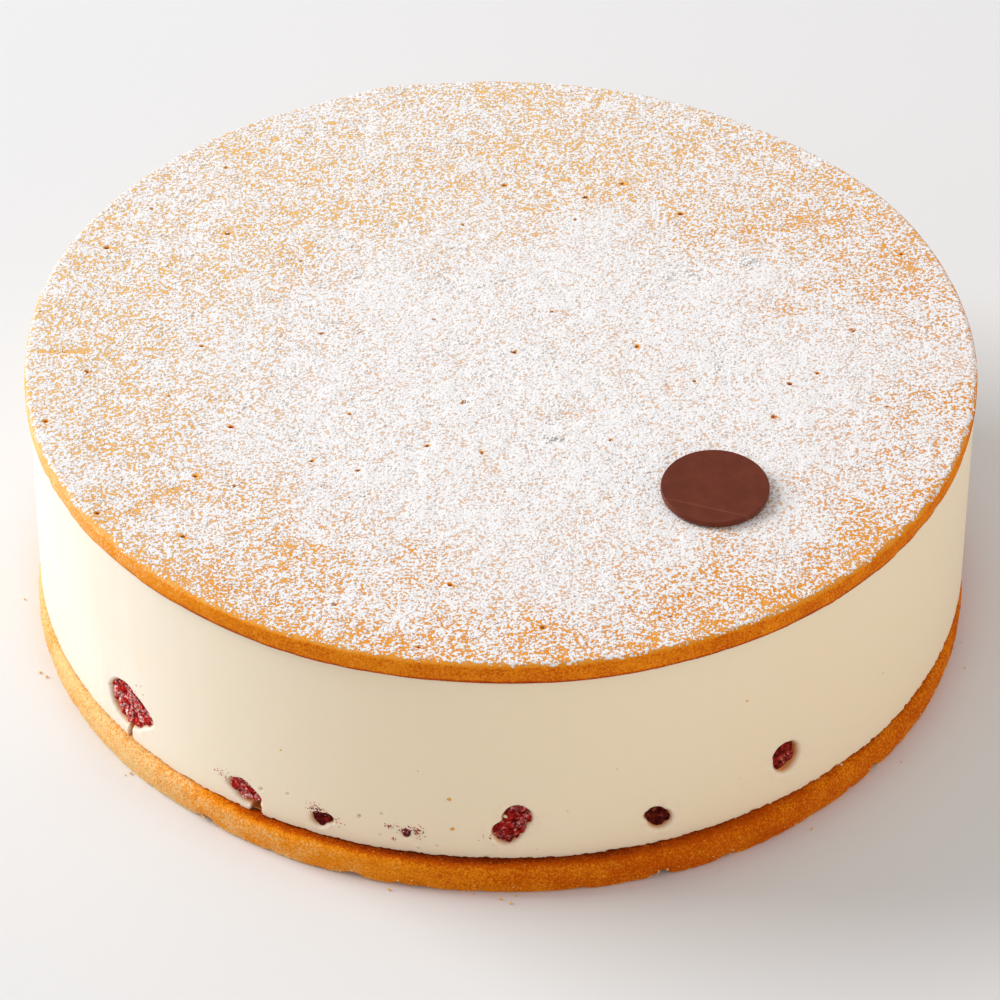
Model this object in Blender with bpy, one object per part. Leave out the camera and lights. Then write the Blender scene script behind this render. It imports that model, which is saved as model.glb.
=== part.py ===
"""Cheese cream torte: a thick layer of set cheese cream between two golden sponge discs.

Raspberries lie in small hollows of the cream's wall, where the mould pressed them flat. A bare
chocolate medallion lies on the top sponge, which is marked out for ten portions.

Metres, +Z up. The origin lies on the table, under the middle of the whole torte.
"""

import math
import random
from collections import namedtuple

import bmesh
import bpy
import numpy as np
from mathutils import Matrix, Vector

MM = 0.001
GAP = 0.3 * MM  # left between pieces that touch
SEGMENTS = 120  # round the turned layers

# A ripple runs round a layer: seed, amplitude, and its smallest and largest number of waves.
# Points of a profile are millimetres out from the layer's radius, and up.

# Bottom sponge, which shows a little in front of the cream
BASE_RADIUS = 135.1 * MM
BASE_AXIS = Vector((0.3, -1.9, 0.0)) * MM
BASE_THICK = 9.7 * MM
BASE_EDGE = 2.2 * MM  # radius of its rounded upper edge
BASE_SIDE = ((-1.2, 0.0), (-0.2, 1.6), (0.2, 4.0))  # profile from the table to that edge
BASE_RIM = 12.0 * MM  # width of the ring of faces along its edges
BASE_RIPPLE = (3, 0.45 * MM, 3, 14)
BASE_CRUMB = 0.35 * MM  # typical depth of the crumbs and nicks along the lower edge

# Cheese cream, set in a ring a little behind the bottom sponge
CREAM_RADIUS = 135.0 * MM
CREAM_AXIS = Vector((0.4, 1.8, 0.0)) * MM
CREAM_LOW = BASE_THICK + GAP
CREAM_HIGH = 74.8 * MM
CREAM_EDGE = 0.8 * MM
CREAM_ROWS = (30.0 * MM, 53.0 * MM)  # heights of the points in its wall
CREAM_RIM = 8.0 * MM
CREAM_RIPPLE = (11, 0.06 * MM, 2, 9)
CREAM_LIP = (12, 0.16 * MM, 9, 30)  # ripple of its ragged lower edge

# Top sponge, laid on slightly towards the front
TOP_RADIUS = 135.8 * MM
TOP_AXIS = Vector((-0.2, 0.2, 0.0)) * MM
TOP_LOW = CREAM_HIGH + GAP
TOP_HIGH = 82.3 * MM
TOP_EDGE = 1.6 * MM  # radius of its rounded upper edge
TOP_SIDE = ((-0.8, 0.0), (-0.3, 0.6), (0.0, 2.5))  # profile from the cream to that edge
TOP_RINGS = (TOP_RADIUS - 8.0 * MM, 92.0 * MM, 46.0 * MM)  # radii of the points in its upper side
TOP_RIPPLE = (21, 0.30 * MM, 3, 12)
TOP_UNEVEN = (34, 0.07 * MM, 2, 6)  # ripple of its upper side
TOP_BULGE = 1.8 * MM  # a tab of sponge at the back that the ring did not trim
TOP_BULGE_BEARING = 105.0
TOP_BULGE_SPREAD = 4.0

# Portion marks, pressed with a divider that stood off centre
PORTIONS = 10
DIVIDER_CENTRE = Vector((-5.8, 3.1, 0.0)) * MM
FIRST_MARK = 1.9
MARK_START = 34.0 * MM
MARK_WIDTH = 1.5 * MM
MARK_DEPTH = 0.8 * MM
MARK_ABOVE = 0.3 * MM  # how far its cutter stands out of the sponge
MARK_BEYOND = 12.0 * MM  # how far its cutter runs past the top sponge's radius

# Chocolate medallion, which lies on the sugar with its front edge a little lower
MEDALLION_RADIUS = 15.0 * MM
MEDALLION_THICK = 1.8 * MM
MEDALLION_CENTRE = Vector((59.0, -63.5, TOP_HIGH / MM + 1.3)) * MM
MEDALLION_TILT = math.radians(3.3)
MEDALLION_EDGE = 0.25 * MM

# Raspberry pieces in the cream's wall. Bearings are in degrees about the cream's axis. Outlines are
# the corners, in millimetres along and up the wall from the piece's middle, of what shows at the
# wall, and of the hollow round it. A hollow of None is the outline grown by HOLLOW_GAP.
Berry = namedtuple("Berry", "bearing height depth outline hollow")
BERRIES = (
    Berry(
        -140.1,
        22.0,
        7.5,
        ((11.3, 0.4), (7.5, 3.0), (3.0, 5.4), (-5.5, 6.1))
        + ((-10.2, 0.8), (-7.9, -3.7), (0.2, -7.6), (6.0, -3.4)),
        ((11.8, 0.5), (7.9, 3.2), (3.2, 5.9), (-5.9, 6.6), (-10.9, 1.0))
        + ((-9.3, -5.3), (-3.6, -9.0), (0.6, -8.3), (6.4, -3.9)),
    ),
    Berry(
        -121.7,
        16.3,
        6.0,
        ((6.1, -2.1), (3.1, 1.6), (-2.8, 3.2), (-6.1, 0.5), (-3.2, -1.5), (1.8, -2.7)),
        ((6.7, -2.4), (3.4, 2.1), (-3.0, 3.7), (-6.6, 0.6), (-3.6, -2.0), (2.6, -4.6)),
    ),
    Berry(
        -111.2,
        15.6,
        5.0,
        ((3.3, 1.6), (0.4, 2.3), (-3.2, 0.8), (-3.2, -1.6), (0.0, -2.3)),
        ((3.8, 1.8), (0.5, 2.8), (-3.7, 1.0), (-4.0, -2.4), (-1.6, -3.6), (0.3, -2.8)),
    ),
    Berry(
        -101.0,
        16.9,
        4.5,
        ((1.5, 0.3), (0.1, 1.6), (-1.5, 0.3), (0.1, -1.6)),
        None,
    ),
    Berry(
        -88.5,
        22.3,
        7.5,
        ((5.5, 3.4), (3.3, 6.7), (-0.1, 7.2), (-2.3, 4.3), (-2.7, 1.2))
        + ((-6.1, -2.0), (-2.8, -7.6), (1.8, -4.3), (3.9, -0.8)),
        ((6.1, 3.6), (3.6, 7.2), (-0.2, 7.8), (-3.1, 4.8), (-3.3, 1.5))
        + ((-6.7, -2.1), (-3.1, -8.1), (2.2, -4.9), (4.4, -1.0)),
    ),
    Berry(
        -71.2,
        19.3,
        5.5,
        ((4.1, -0.9), (1.9, 2.2), (-3.3, 3.2), (-4.8, 1.3), (-3.4, -0.8), (1.0, -3.6)),
        ((4.6, -1.2), (2.1, 2.7), (-3.6, 3.7), (-5.3, 1.5), (-3.8, -1.2), (0.7, -5.6), (3.6, -4.3)),
    ),
    Berry(
        -54.6,
        25.6,
        6.5,
        ((3.9, -0.3), (1.7, 4.9), (-2.4, 4.0), (-3.5, -0.8), (-1.6, -4.8), (1.6, -4.0)),
        ((6.1, -0.6), (3.9, 4.6), (0.2, 5.4), (-2.9, 4.4))
        + ((-4.0, -0.9), (-2.0, -5.4), (1.6, -7.5), (4.4, -5.2)),
    ),
    Berry(
        21.0,
        20.5,
        6.0,
        ((5.2, 0.8), (1.4, 4.1), (-3.6, 2.8), (-4.9, -1.6), (0.6, -3.7)),
        ((5.7, 0.9), (1.6, 4.6), (-4.0, 3.1), (-5.5, -2.3), (0.8, -5.4)),
    ),
    Berry(
        64.0,
        17.2,
        5.5,
        ((3.7, 1.9), (-0.8, 3.4), (-4.4, 0.2), (-1.2, -2.9), (3.0, -1.8)),
        None,
    ),
    Berry(
        117.0,
        24.0,
        7.0,
        ((7.4, -2.2), (4.1, 2.7), (-3.0, 4.4), (-7.2, 1.9), (-4.0, -2.8), (2.2, -4.0)),
        ((7.9, -2.8), (4.5, 3.1), (-3.2, 4.9), (-7.7, 2.1), (-4.4, -3.4), (2.6, -5.6)),
    ),
    Berry(
        158.0,
        18.8,
        5.5,
        ((3.0, 2.6), (-1.9, 3.6), (-3.8, -0.9), (-0.4, -3.6), (3.1, -1.7)),
        ((3.4, 3.0), (-2.1, 4.1), (-4.3, -1.1), (-0.6, -5.0), (4.0, -2.7)),
    ),
)
FLUSH = 0.7 * MM  # how far a berry's flattened face lies inside the wall
FINENESS = ((7.6 * MM, 32, 16), (5.2 * MM, 20, 10), (0.0, 16, 8))  # by reach: sides, rings
SOFTENING = (-14.0, -7.0, 0.0, 7.0, 14.0)  # degrees over which an outline's corners are averaged
DRUPELET = 3.2 * MM  # distance between a berry's drupelets
DRUPELET_EDGE = 0.6  # where a drupelet ends, as a share of that distance
DRUPELET_RELIEF = 0.8 * MM
FEWEST_ROUND = 8  # drupelets round the smallest berry
FEWEST_IN_FACE = 3  # drupelets in its flattened face
GOLDEN_ANGLE = math.radians(137.508)
HOLLOW_GAP = 0.4 * MM  # left behind and round a berry in its hollow
HOLLOW_REACH = 1.2  # how far a hollow's cutter runs out, as a share of the berry's depth

# Slits that run from a hollow down to the bottom sponge: bearing, width below, width above, top
SLITS = ((-140.4, 2.6, 1.5, 14.8), (-120.0, 4.6, 2.6, 13.6))
SLIT_DEPTH = 5.0 * MM
SLIT_BELOW = 4.0 * MM  # how far its cutter runs below the cream

MATERIALS = {
    "sponge": ((0.72, 0.40, 0.13, 1.0), 0.85),
    "sugared sponge": ((0.86, 0.76, 0.62, 1.0), 0.90),
    "cheese cream": ((0.89, 0.82, 0.68, 1.0), 0.45),
    "raspberry": ((0.36, 0.02, 0.03, 1.0), 0.35),
    "chocolate": ((0.10, 0.035, 0.025, 1.0), 0.32),
}


def clear_scene():
    for obj in list(bpy.data.objects):
        bpy.data.objects.remove(obj, do_unlink=True)


def material(name):
    found = bpy.data.materials.get(name)
    if found:
        return found
    colour, roughness = MATERIALS[name]
    made = bpy.data.materials.new(name)
    made.use_nodes = True
    shader = made.node_tree.nodes["Principled BSDF"]
    shader.inputs["Base Color"].default_value = colour
    shader.inputs["Roughness"].default_value = roughness
    shader.inputs["Metallic"].default_value = 0.0
    made.diffuse_color = colour
    return made


def add_object(name, bm, place, parent, finish=None):
    """A mesh object from bm at the matrix place, under parent."""
    bmesh.ops.recalc_face_normals(bm, faces=bm.faces)
    mesh = bpy.data.meshes.new(name)
    bm.to_mesh(mesh)
    bm.free()
    obj = bpy.data.objects.new(name, mesh)
    bpy.context.scene.collection.objects.link(obj)
    obj.parent = parent
    obj.matrix_world = place
    if finish:
        mesh.materials.append(material(finish))
        mesh.shade_smooth()
        mesh.set_sharp_from_angle(angle=math.radians(40))
    return obj


def make_cutter(obj, collection):
    """Hides obj and moves it to the collection that a Boolean reads."""
    obj.hide_render = True
    obj.display_type = "WIRE"
    bpy.context.scene.collection.objects.unlink(obj)
    collection.objects.link(obj)


def cut(obj, collection):
    boolean = obj.modifiers.new("cut", "BOOLEAN")
    boolean.operation = "DIFFERENCE"
    boolean.operand_type = "COLLECTION"
    boolean.collection = collection
    boolean.solver = "EXACT"


def new_collection(name):
    made = bpy.data.collections.new(name)
    bpy.context.scene.collection.children.link(made)
    return made


def waviness(seed, size, lowest, highest):
    """A smooth closed ripple, as a function of the angle, with amplitudes up to size."""
    draw = random.Random(seed)
    waves = []
    for count in range(lowest, highest + 1):
        share = size * draw.uniform(0.4, 1.0) * lowest / count
        waves.append((count, share, draw.uniform(0.0, math.tau)))

    def ripple(angle):
        return sum(share * math.cos(count * angle + phase) for count, share, phase in waves)

    return ripple


def side(profile, radius, low):
    """Rows of a profile's points for a layer of that radius that starts at the height low."""
    return [(radius + out * MM, low + up * MM) for out, up in profile]


def turned(rows, relief):
    """A closed turned body. rows are (radius, height) from the axis below to the axis above, and
    relief(row, angle) gives each point's (outward, upward) shift."""
    bm = bmesh.new()
    row_of = bm.verts.layers.int.new("row")
    points = [bm.verts.new((radius, 0.0, height)) for radius, height in rows]
    edges = [bm.edges.new(pair) for pair in zip(points, points[1:])]
    for row, point in enumerate(points):
        point[row_of] = row
    bmesh.ops.spin(
        bm,
        geom=points + edges,
        cent=(0.0, 0.0, 0.0),
        axis=(0.0, 0.0, 1.0),
        angle=math.tau,
        steps=SEGMENTS,
        use_merge=True,
    )
    bmesh.ops.remove_doubles(bm, verts=bm.verts, dist=1e-6)
    for vert in bm.verts:
        radius = math.hypot(vert.co.x, vert.co.y)
        if radius < MM:
            continue
        outward, upward = relief(vert[row_of], math.atan2(vert.co.y, vert.co.x))
        vert.co.x *= 1.0 + outward / radius
        vert.co.y *= 1.0 + outward / radius
        vert.co.z += upward
    bmesh.ops.triangulate(bm, faces=bm.faces)
    return bm


def rounded_edge(radius, height, size, steps):
    """Points of a quarter round from the wall at radius up to height, size being its radius."""
    for step in range(steps + 1):
        turn = math.pi / 2 * step / steps
        yield radius - size * (1.0 - math.cos(turn)), height - size * (1.0 - math.sin(turn))


def base_sponge(parent):
    """The thin bottom disc: its upper edge is round, its lower edge broken by crumbs and nicks."""
    rows = [(0.0, 0.0), (BASE_RADIUS - BASE_RIM, 0.0)]
    edge = range(len(rows), len(rows) + len(BASE_SIDE))
    rows += side(BASE_SIDE, BASE_RADIUS, 0.0)
    rows += list(rounded_edge(BASE_RADIUS, BASE_THICK, BASE_EDGE, 3))
    rows += [(BASE_RADIUS - BASE_RIM, BASE_THICK), (0.0, BASE_THICK)]
    outline = waviness(*BASE_RIPPLE)
    nicks = random.Random(8)
    crumbs = {row: [nicks.gauss(0.0, BASE_CRUMB) for _ in range(SEGMENTS)] for row in edge}

    def relief(row, angle):
        if row < edge.start or row > len(rows) - 3:
            return 0.0, 0.0
        crumb = crumbs[row][round(angle / math.tau * SEGMENTS) % SEGMENTS] if row in crumbs else 0.0
        return outline(angle) + crumb, 0.0

    place = Matrix.Translation(BASE_AXIS)
    return add_object("base_sponge", turned(rows, relief), place, parent, "sponge")


def wall_place(bearing, height):
    """The frame of a point on the cream's wall: X along the wall, Y up, Z out of it."""
    angle = math.radians(bearing)
    out = Vector((math.cos(angle), math.sin(angle), 0.0))
    up = Vector((0.0, 0.0, 1.0))
    along = up.cross(out)
    place = Matrix((along, up, out)).transposed().to_4x4()
    place.translation = CREAM_AXIS + out * CREAM_RADIUS + up * height
    return place


def reach_of(corners):
    """The distance from the middle to the outline through corners, as a function of the angle."""
    angles = [math.degrees(math.atan2(up, along)) for along, up in corners]
    reaches = [math.hypot(along, up) * MM for along, up in corners]

    def reach(angle):
        around = [math.degrees(angle) + shift for shift in SOFTENING]
        return float(np.mean(np.interp(around, angles, reaches, period=360.0)))

    return reach


def grown(reach):
    """The same outline, HOLLOW_GAP further out."""
    return lambda angle: reach(angle) + HOLLOW_GAP


def longest(reach):
    return max(reach(math.tau * step / 12) for step in range(12))


def drupelet_dent(places, point):
    """How deep the surface lies between the drupelets at a point."""
    nearest = min((point - place).length for place in places) / DRUPELET
    return DRUPELET_RELIEF * min(1.0, (nearest / DRUPELET_EDGE) ** 2)


def drupelets_round(reach, depth):
    """Drupelet middles spread evenly over a berry by the golden angle."""
    surface = math.pi * (longest(reach) + depth) ** 2
    count = max(FEWEST_ROUND, round(surface / DRUPELET**2))
    for step in range(count):
        height = 1.0 - 2.0 * (step + 0.5) / count
        angle = step * GOLDEN_ANGLE
        across = reach(angle) * math.sqrt(1.0 - height**2)
        yield Vector((across * math.cos(angle), across * math.sin(angle), depth * height))


def drupelets_in_face(reach):
    """Drupelet middles spread evenly over a berry's flattened face, as a sunflower's seeds are."""
    size = longest(reach)
    count = max(FEWEST_IN_FACE, round(math.pi * size**2 / DRUPELET**2))
    for step in range(count):
        across = size * math.sqrt((step + 0.5) / count)
        angle = step * GOLDEN_ANGLE
        yield Vector((across * math.cos(angle), across * math.sin(angle), 0.0))


def rough_ball(reach):
    """A unit sphere with as many faces as a piece of that reach needs."""
    size = longest(reach)
    sides, rings = next((sides, rings) for least, sides, rings in FINENESS if size > least)
    bm = bmesh.new()
    bmesh.ops.create_uvsphere(bm, u_segments=sides, v_segments=rings, radius=1.0)
    return bm


def berry_mesh(reach, depth):
    """A flattened berry in its wall frame. Its middle lies half its depth inside the wall, and its
    outer side follows the wall where the mould pressed it."""
    bm = rough_ball(reach)
    round_it = list(drupelets_round(reach, depth))
    in_face = list(drupelets_in_face(reach))
    for vert in bm.verts:
        across = math.hypot(vert.co.x, vert.co.y)
        angle = math.atan2(vert.co.y, vert.co.x)
        span = reach(angle) * across
        point = Vector((span * math.cos(angle), span * math.sin(angle), depth * vert.co.z))
        point -= point.normalized() * drupelet_dent(round_it, point)
        pressed = -point.x**2 / (2 * CREAM_RADIUS) - FLUSH
        pressed -= drupelet_dent(in_face, Vector((point.x, point.y, 0.0)))
        point.z = min(point.z - depth / 2, pressed)
        vert.co = point
    return bm


def hollow_mesh(reach, depth):
    """The space that holds a berry: round inside, straight where it opens through the wall."""
    bm = rough_ball(reach)
    inward, outward = depth + HOLLOW_GAP, depth * HOLLOW_REACH
    for vert in bm.verts:
        height = vert.co.z
        across = math.hypot(vert.co.x, vert.co.y)
        if height > 0.0 and across > 1e-3:
            across = 1.0
        angle = math.atan2(vert.co.y, vert.co.x)
        span = reach(angle) * across
        out = height * (inward if height < 0.0 else outward) - depth / 2
        vert.co = Vector((span * math.cos(angle), span * math.sin(angle), out))
    return bm


def prism(corners, path):
    """The face through corners, drawn out along path."""
    bm = bmesh.new()
    face = bm.faces.new([bm.verts.new(corner) for corner in corners])
    drawn = bmesh.ops.extrude_face_region(bm, geom=[face])
    moved = [item for item in drawn["geom"] if isinstance(item, bmesh.types.BMVert)]
    bmesh.ops.translate(bm, verts=moved, vec=path)
    return bm


def slit_mesh(below, above, top):
    """A tapered prism through the wall's lower edge, its top inside a hollow."""
    low = CREAM_LOW - SLIT_BELOW
    corners = ((-below, low), (below, low), (above, top * MM), (-above, top * MM))
    corners = [(along * MM / 2, up, -SLIT_DEPTH) for along, up in corners]
    return prism(corners, (0.0, 0.0, SLIT_DEPTH * 2))


def raspberries(parent, hollows):
    """The berry pieces, and the hollows that the cream is cut by."""
    for number, berry in enumerate(BERRIES, start=1):
        place = wall_place(berry.bearing, berry.height * MM)
        reach = reach_of(berry.outline)
        depth = berry.depth * MM
        add_object(f"raspberry_{number}", berry_mesh(reach, depth), place, parent, "raspberry")
        opening = reach_of(berry.hollow) if berry.hollow else grown(reach)
        cutter = add_object(f"hollow_{number}", hollow_mesh(opening, depth), place, parent)
        make_cutter(cutter, hollows)


def slits(parent, hollows):
    for number, (bearing, below, above, top) in enumerate(SLITS, start=1):
        place = wall_place(bearing, 0.0)
        cutter = add_object(f"slit_{number}", slit_mesh(below, above, top), place, parent)
        make_cutter(cutter, hollows)


def cheese_cream(parent, hollows):
    """The set cream: a straight wall from the mould, with a slightly ragged lower edge."""
    rows = [(0.0, CREAM_LOW), (CREAM_RADIUS - CREAM_RIM, CREAM_LOW)]
    rows += [(CREAM_RADIUS - CREAM_EDGE, CREAM_LOW), (CREAM_RADIUS, CREAM_LOW + CREAM_EDGE)]
    rows += [(CREAM_RADIUS, height) for height in CREAM_ROWS]
    rows += list(rounded_edge(CREAM_RADIUS, CREAM_HIGH, CREAM_EDGE, 2))
    rows += [(0.0, CREAM_HIGH)]
    wall = waviness(*CREAM_RIPPLE)
    lip = waviness(*CREAM_LIP)

    def relief(row, angle):
        if row in (0, 1, len(rows) - 1):
            return 0.0, 0.0
        if row in (2, 3):
            return wall(angle), abs(lip(angle))
        return wall(angle), 0.0

    place = Matrix.Translation(CREAM_AXIS)
    cream = add_object("cheese_cream", turned(rows, relief), place, parent, "cheese cream")
    cut(cream, hollows)
    return cream


def portion_marks(parent, marks):
    """Ten V-shaped grooves that run out from near the divider's centre to the rim."""
    half = MARK_WIDTH / 2
    corners = [(MARK_START, -half, MARK_ABOVE), (MARK_START, half, MARK_ABOVE)]
    corners += [(MARK_START, 0.0, -MARK_DEPTH)]
    path = (TOP_RADIUS + MARK_BEYOND - MARK_START, 0.0, 0.0)
    for number in range(PORTIONS):
        turn = math.radians(FIRST_MARK + number * 360.0 / PORTIONS)
        place = Matrix.Translation(DIVIDER_CENTRE + Vector((0.0, 0.0, TOP_HIGH)))
        place = place @ Matrix.Rotation(turn, 4, "Z")
        cutter = add_object(f"mark_{number + 1}", prism(corners, path), place, parent)
        make_cutter(cutter, marks)


def top_sponge(parent, marks):
    """The thin top disc: round edges, a hand-cut outline and a slightly uneven upper side."""
    rows = [(0.0, TOP_LOW)] + side(TOP_SIDE, TOP_RADIUS, TOP_LOW)
    rows += list(rounded_edge(TOP_RADIUS, TOP_HIGH, TOP_EDGE, 3))
    first_flat = len(rows)
    rows += [(radius, TOP_HIGH) for radius in TOP_RINGS] + [(0.0, TOP_HIGH)]
    outline = waviness(*TOP_RIPPLE)
    uneven = waviness(*TOP_UNEVEN)

    def relief(row, angle):
        if row >= first_flat:
            return 0.0, uneven(angle + row)
        off = (math.degrees(angle) - TOP_BULGE_BEARING + 180.0) % 360.0 - 180.0
        bulge = TOP_BULGE * math.exp(-((off / TOP_BULGE_SPREAD) ** 2))
        return outline(angle) + bulge, 0.0

    place = Matrix.Translation(TOP_AXIS)
    sponge = add_object("top_sponge", turned(rows, relief), place, parent, "sugared sponge")
    cut(sponge, marks)
    return sponge


def chocolate_medallion(parent):
    """A thin cast plaque with a fine rounded edge and a bare face."""
    bm = bmesh.new()
    bmesh.ops.create_cone(
        bm,
        cap_ends=True,
        segments=48,
        radius1=MEDALLION_RADIUS,
        radius2=MEDALLION_RADIUS,
        depth=MEDALLION_THICK,
    )
    bmesh.ops.translate(bm, verts=bm.verts, vec=(0.0, 0.0, MEDALLION_THICK / 2))
    place = Matrix.Translation(MEDALLION_CENTRE) @ Matrix.Rotation(MEDALLION_TILT, 4, "X")
    plaque = add_object("chocolate_medallion", bm, place, parent, "chocolate")
    bevel = plaque.modifiers.new("fine edge", "BEVEL")
    bevel.width = MEDALLION_EDGE
    bevel.segments = 1
    return plaque


def main():
    clear_scene()
    torte = bpy.data.objects.new("torte", None)
    bpy.context.scene.collection.objects.link(torte)
    hollows = new_collection("hollows")
    marks = new_collection("marks")
    base_sponge(torte)
    raspberries(torte, hollows)
    slits(torte, hollows)
    cheese_cream(torte, hollows)
    portion_marks(torte, marks)
    top_sponge(torte, marks)
    chocolate_medallion(torte)


main()
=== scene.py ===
# %% [markdown]
# # A cheese cream torte
# A torte of this kind is built in a ring: a thin sponge disc, a thick layer of set cheese cream
# with raspberries at its foot, a second thin disc, then powdered sugar and a chocolate medallion.
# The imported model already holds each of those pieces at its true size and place. This script
# loads it as a fixed frame and gives every piece its fine relief and its finish.

# %% Load the frame
import math

import bmesh
import bpy
import numpy as np
from mathutils import Matrix, Vector


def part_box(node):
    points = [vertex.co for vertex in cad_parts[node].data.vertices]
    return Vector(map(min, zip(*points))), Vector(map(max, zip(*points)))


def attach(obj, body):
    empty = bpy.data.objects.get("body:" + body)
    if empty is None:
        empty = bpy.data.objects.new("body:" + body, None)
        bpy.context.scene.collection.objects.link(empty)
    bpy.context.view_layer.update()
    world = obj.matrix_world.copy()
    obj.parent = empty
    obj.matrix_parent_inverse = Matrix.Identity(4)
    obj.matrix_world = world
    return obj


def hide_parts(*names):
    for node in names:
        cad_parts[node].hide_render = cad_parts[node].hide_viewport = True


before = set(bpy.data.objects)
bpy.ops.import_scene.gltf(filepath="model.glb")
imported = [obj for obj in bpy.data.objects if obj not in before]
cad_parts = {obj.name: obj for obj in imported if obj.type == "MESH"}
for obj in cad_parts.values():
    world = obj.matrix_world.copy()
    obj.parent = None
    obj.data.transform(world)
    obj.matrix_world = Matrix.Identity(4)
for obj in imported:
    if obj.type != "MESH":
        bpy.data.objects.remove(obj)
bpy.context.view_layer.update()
MM = 0.001


# %% Measure the layers
# The three layers were set down a little off each other, so each has its own axis.
def box_mm(node):
    """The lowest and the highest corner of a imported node, in millimetres."""
    low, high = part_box(node)
    return np.array(low) / MM, np.array(high) / MM


BASE_HIGH = box_mm("base_sponge")[1][2]
CREAM_LOW, CREAM_HIGH = box_mm("cheese_cream")[0][2], box_mm("cheese_cream")[1][2]
TOP_LOW = box_mm("top_sponge")[0][2]
TOP_HIGH = 82.3
BASE_AXIS = (0.3, -1.9)
CREAM_AXIS = (0.4, 1.8)
TOP_AXIS = (-0.2, 0.2)
CREAM_RADIUS = 135.0
TOP_RADIUS = 135.8
print(f"base to {BASE_HIGH:.1f}, cream {CREAM_LOW:.1f} to {CREAM_HIGH:.1f}, top from {TOP_LOW:.1f} mm")

# %% Outlines of the layers
def outline_of(node, axis, low, high):
    """The node's radius about axis as a function of the angle, from its points between two heights."""
    points = np.array([vert.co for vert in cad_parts[node].data.vertices]) / MM
    points = points[(points[:, 2] > low) & (points[:, 2] < high)]
    angles = np.arctan2(points[:, 1] - axis[1], points[:, 0] - axis[0])
    radii = np.hypot(points[:, 0] - axis[0], points[:, 1] - axis[1])
    order = np.argsort(angles)
    return lambda angle: np.interp(angle, angles[order], radii[order], period=math.tau)


crumbly_outline = outline_of("base_sponge", BASE_AXIS, 3.9, 4.1)


def base_outline(angle):
    """The base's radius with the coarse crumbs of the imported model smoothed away."""
    return np.mean([crumbly_outline(angle + math.radians(off)) for off in (-8, -4, 0, 4, 8)], axis=0)


cream_outline = outline_of("cheese_cream", CREAM_AXIS, CREAM_HIGH - 0.9, CREAM_HIGH - 0.7)
top_outline = outline_of("top_sponge", TOP_AXIS, TOP_LOW + 2.0, TOP_LOW + 3.0)
print("base radius", base_outline(0.0), "cream", cream_outline(0.0), "top", top_outline(0.0))

# %% [markdown]
# ## The camera
# The torte is seen from the front and well above, through a long lens, so that its rims are
# nearly true ellipses. A camera's own axes are right, up and backwards. Building its matrix from
# the direction in which it looks and the direction that is up in the picture sets all three.

# %% Camera
CAMERA_PLACE = Vector((-0.143, -1165.802, 983.189)) * MM
LOOKING = Vector((0.0, 0.77347, -0.63384))
PICTURE_UP = Vector((-0.00604, 0.63382, 0.77345))
LENS_LENGTH = 186.19
SENSOR_WIDTH = 36.0

camera = bpy.data.objects.new("camera", bpy.data.cameras.new("camera"))
camera.data.lens = LENS_LENGTH
camera.data.sensor_width = SENSOR_WIDTH
right = LOOKING.cross(PICTURE_UP).normalized()
turn = Matrix((right, PICTURE_UP, -LOOKING)).transposed().to_4x4()
camera.matrix_world = Matrix.Translation(CAMERA_PLACE) @ turn
bpy.context.scene.collection.objects.link(camera)
bpy.context.scene.camera = camera
print("camera at", [round(value, 3) for value in camera.location])

# %% [markdown]
# ## The light
# A bright window stands behind the torte on its left, and pale walls return a weaker, warmer
# light to its front. One large area light is the window and a second one the room. The even
# world colour fills what both leave dark. The Standard view keeps food colours as they are mixed.

# %% Colours
def tone(red, green, blue):
    """A colour from its display values of 0 to 255, as the linear colour that shaders take."""
    shares = (value / 255.0 for value in (red, green, blue))
    linear = (s / 12.92 if s <= 0.04045 else ((s + 0.055) / 1.055) ** 2.4 for s in shares)
    return (*linear, 1.0)


print("a warm white of 255, 236, 208 is", tone(255, 236, 208))


# %% Light
WINDOW_POWER = 116.0
ROOM_POWER = 11.0
WORLD_STRENGTH = 0.70


def area_light(name, place, aim, size, power, colour):
    """A rectangular lamp of that width and height, turned towards aim."""
    lamp = bpy.data.lights.new(name, "AREA")
    lamp.shape = "RECTANGLE"
    lamp.size, lamp.size_y = size
    lamp.energy = power
    lamp.color = colour[:3]
    light = bpy.data.objects.new(name, lamp)
    light.location = place
    light.rotation_euler = (Vector(aim) - Vector(place)).to_track_quat("-Z", "Y").to_euler()
    bpy.context.scene.collection.objects.link(light)


area_light("window", (-2.8, 0.9, 2.0), (0.0, 0.0, 0.0), (2.0, 2.0), WINDOW_POWER, tone(252, 253, 255))
area_light("room", (2.15, -1.0, 0.5), (0.0, 0.0, 0.04), (1.6, 0.8), ROOM_POWER, tone(255, 236, 208))

world = bpy.data.worlds.new("even light")
world.use_nodes = True
background = world.node_tree.nodes["Background"].inputs
background["Color"].default_value = tone(240, 238, 240)
background["Strength"].default_value = WORLD_STRENGTH
bpy.context.scene.world = world
bpy.context.scene.view_settings.view_transform = "Standard"
bpy.context.scene.view_settings.look = "None"
print("lights:", [light.name for light in bpy.data.lights])

# %% [markdown]
# ## Nodes without clutter
# Every finish below is a small network of shader nodes. A few helpers make a node and wire it in
# one line. A value that is a socket is linked, and any other value is set.


# %% Make and wire a node
def add_node(tree, kind, wires=None, **settings):
    """A node of that kind with its settings made and its input sockets wired or set."""
    node = tree.nodes.new(kind)
    for name, value in settings.items():
        setattr(node, name, value)
    for socket, value in (wires or {}).items():
        if isinstance(value, bpy.types.NodeSocket):
            tree.links.new(value, node.inputs[socket])
        else:
            node.inputs[socket].default_value = value
    return node


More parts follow.
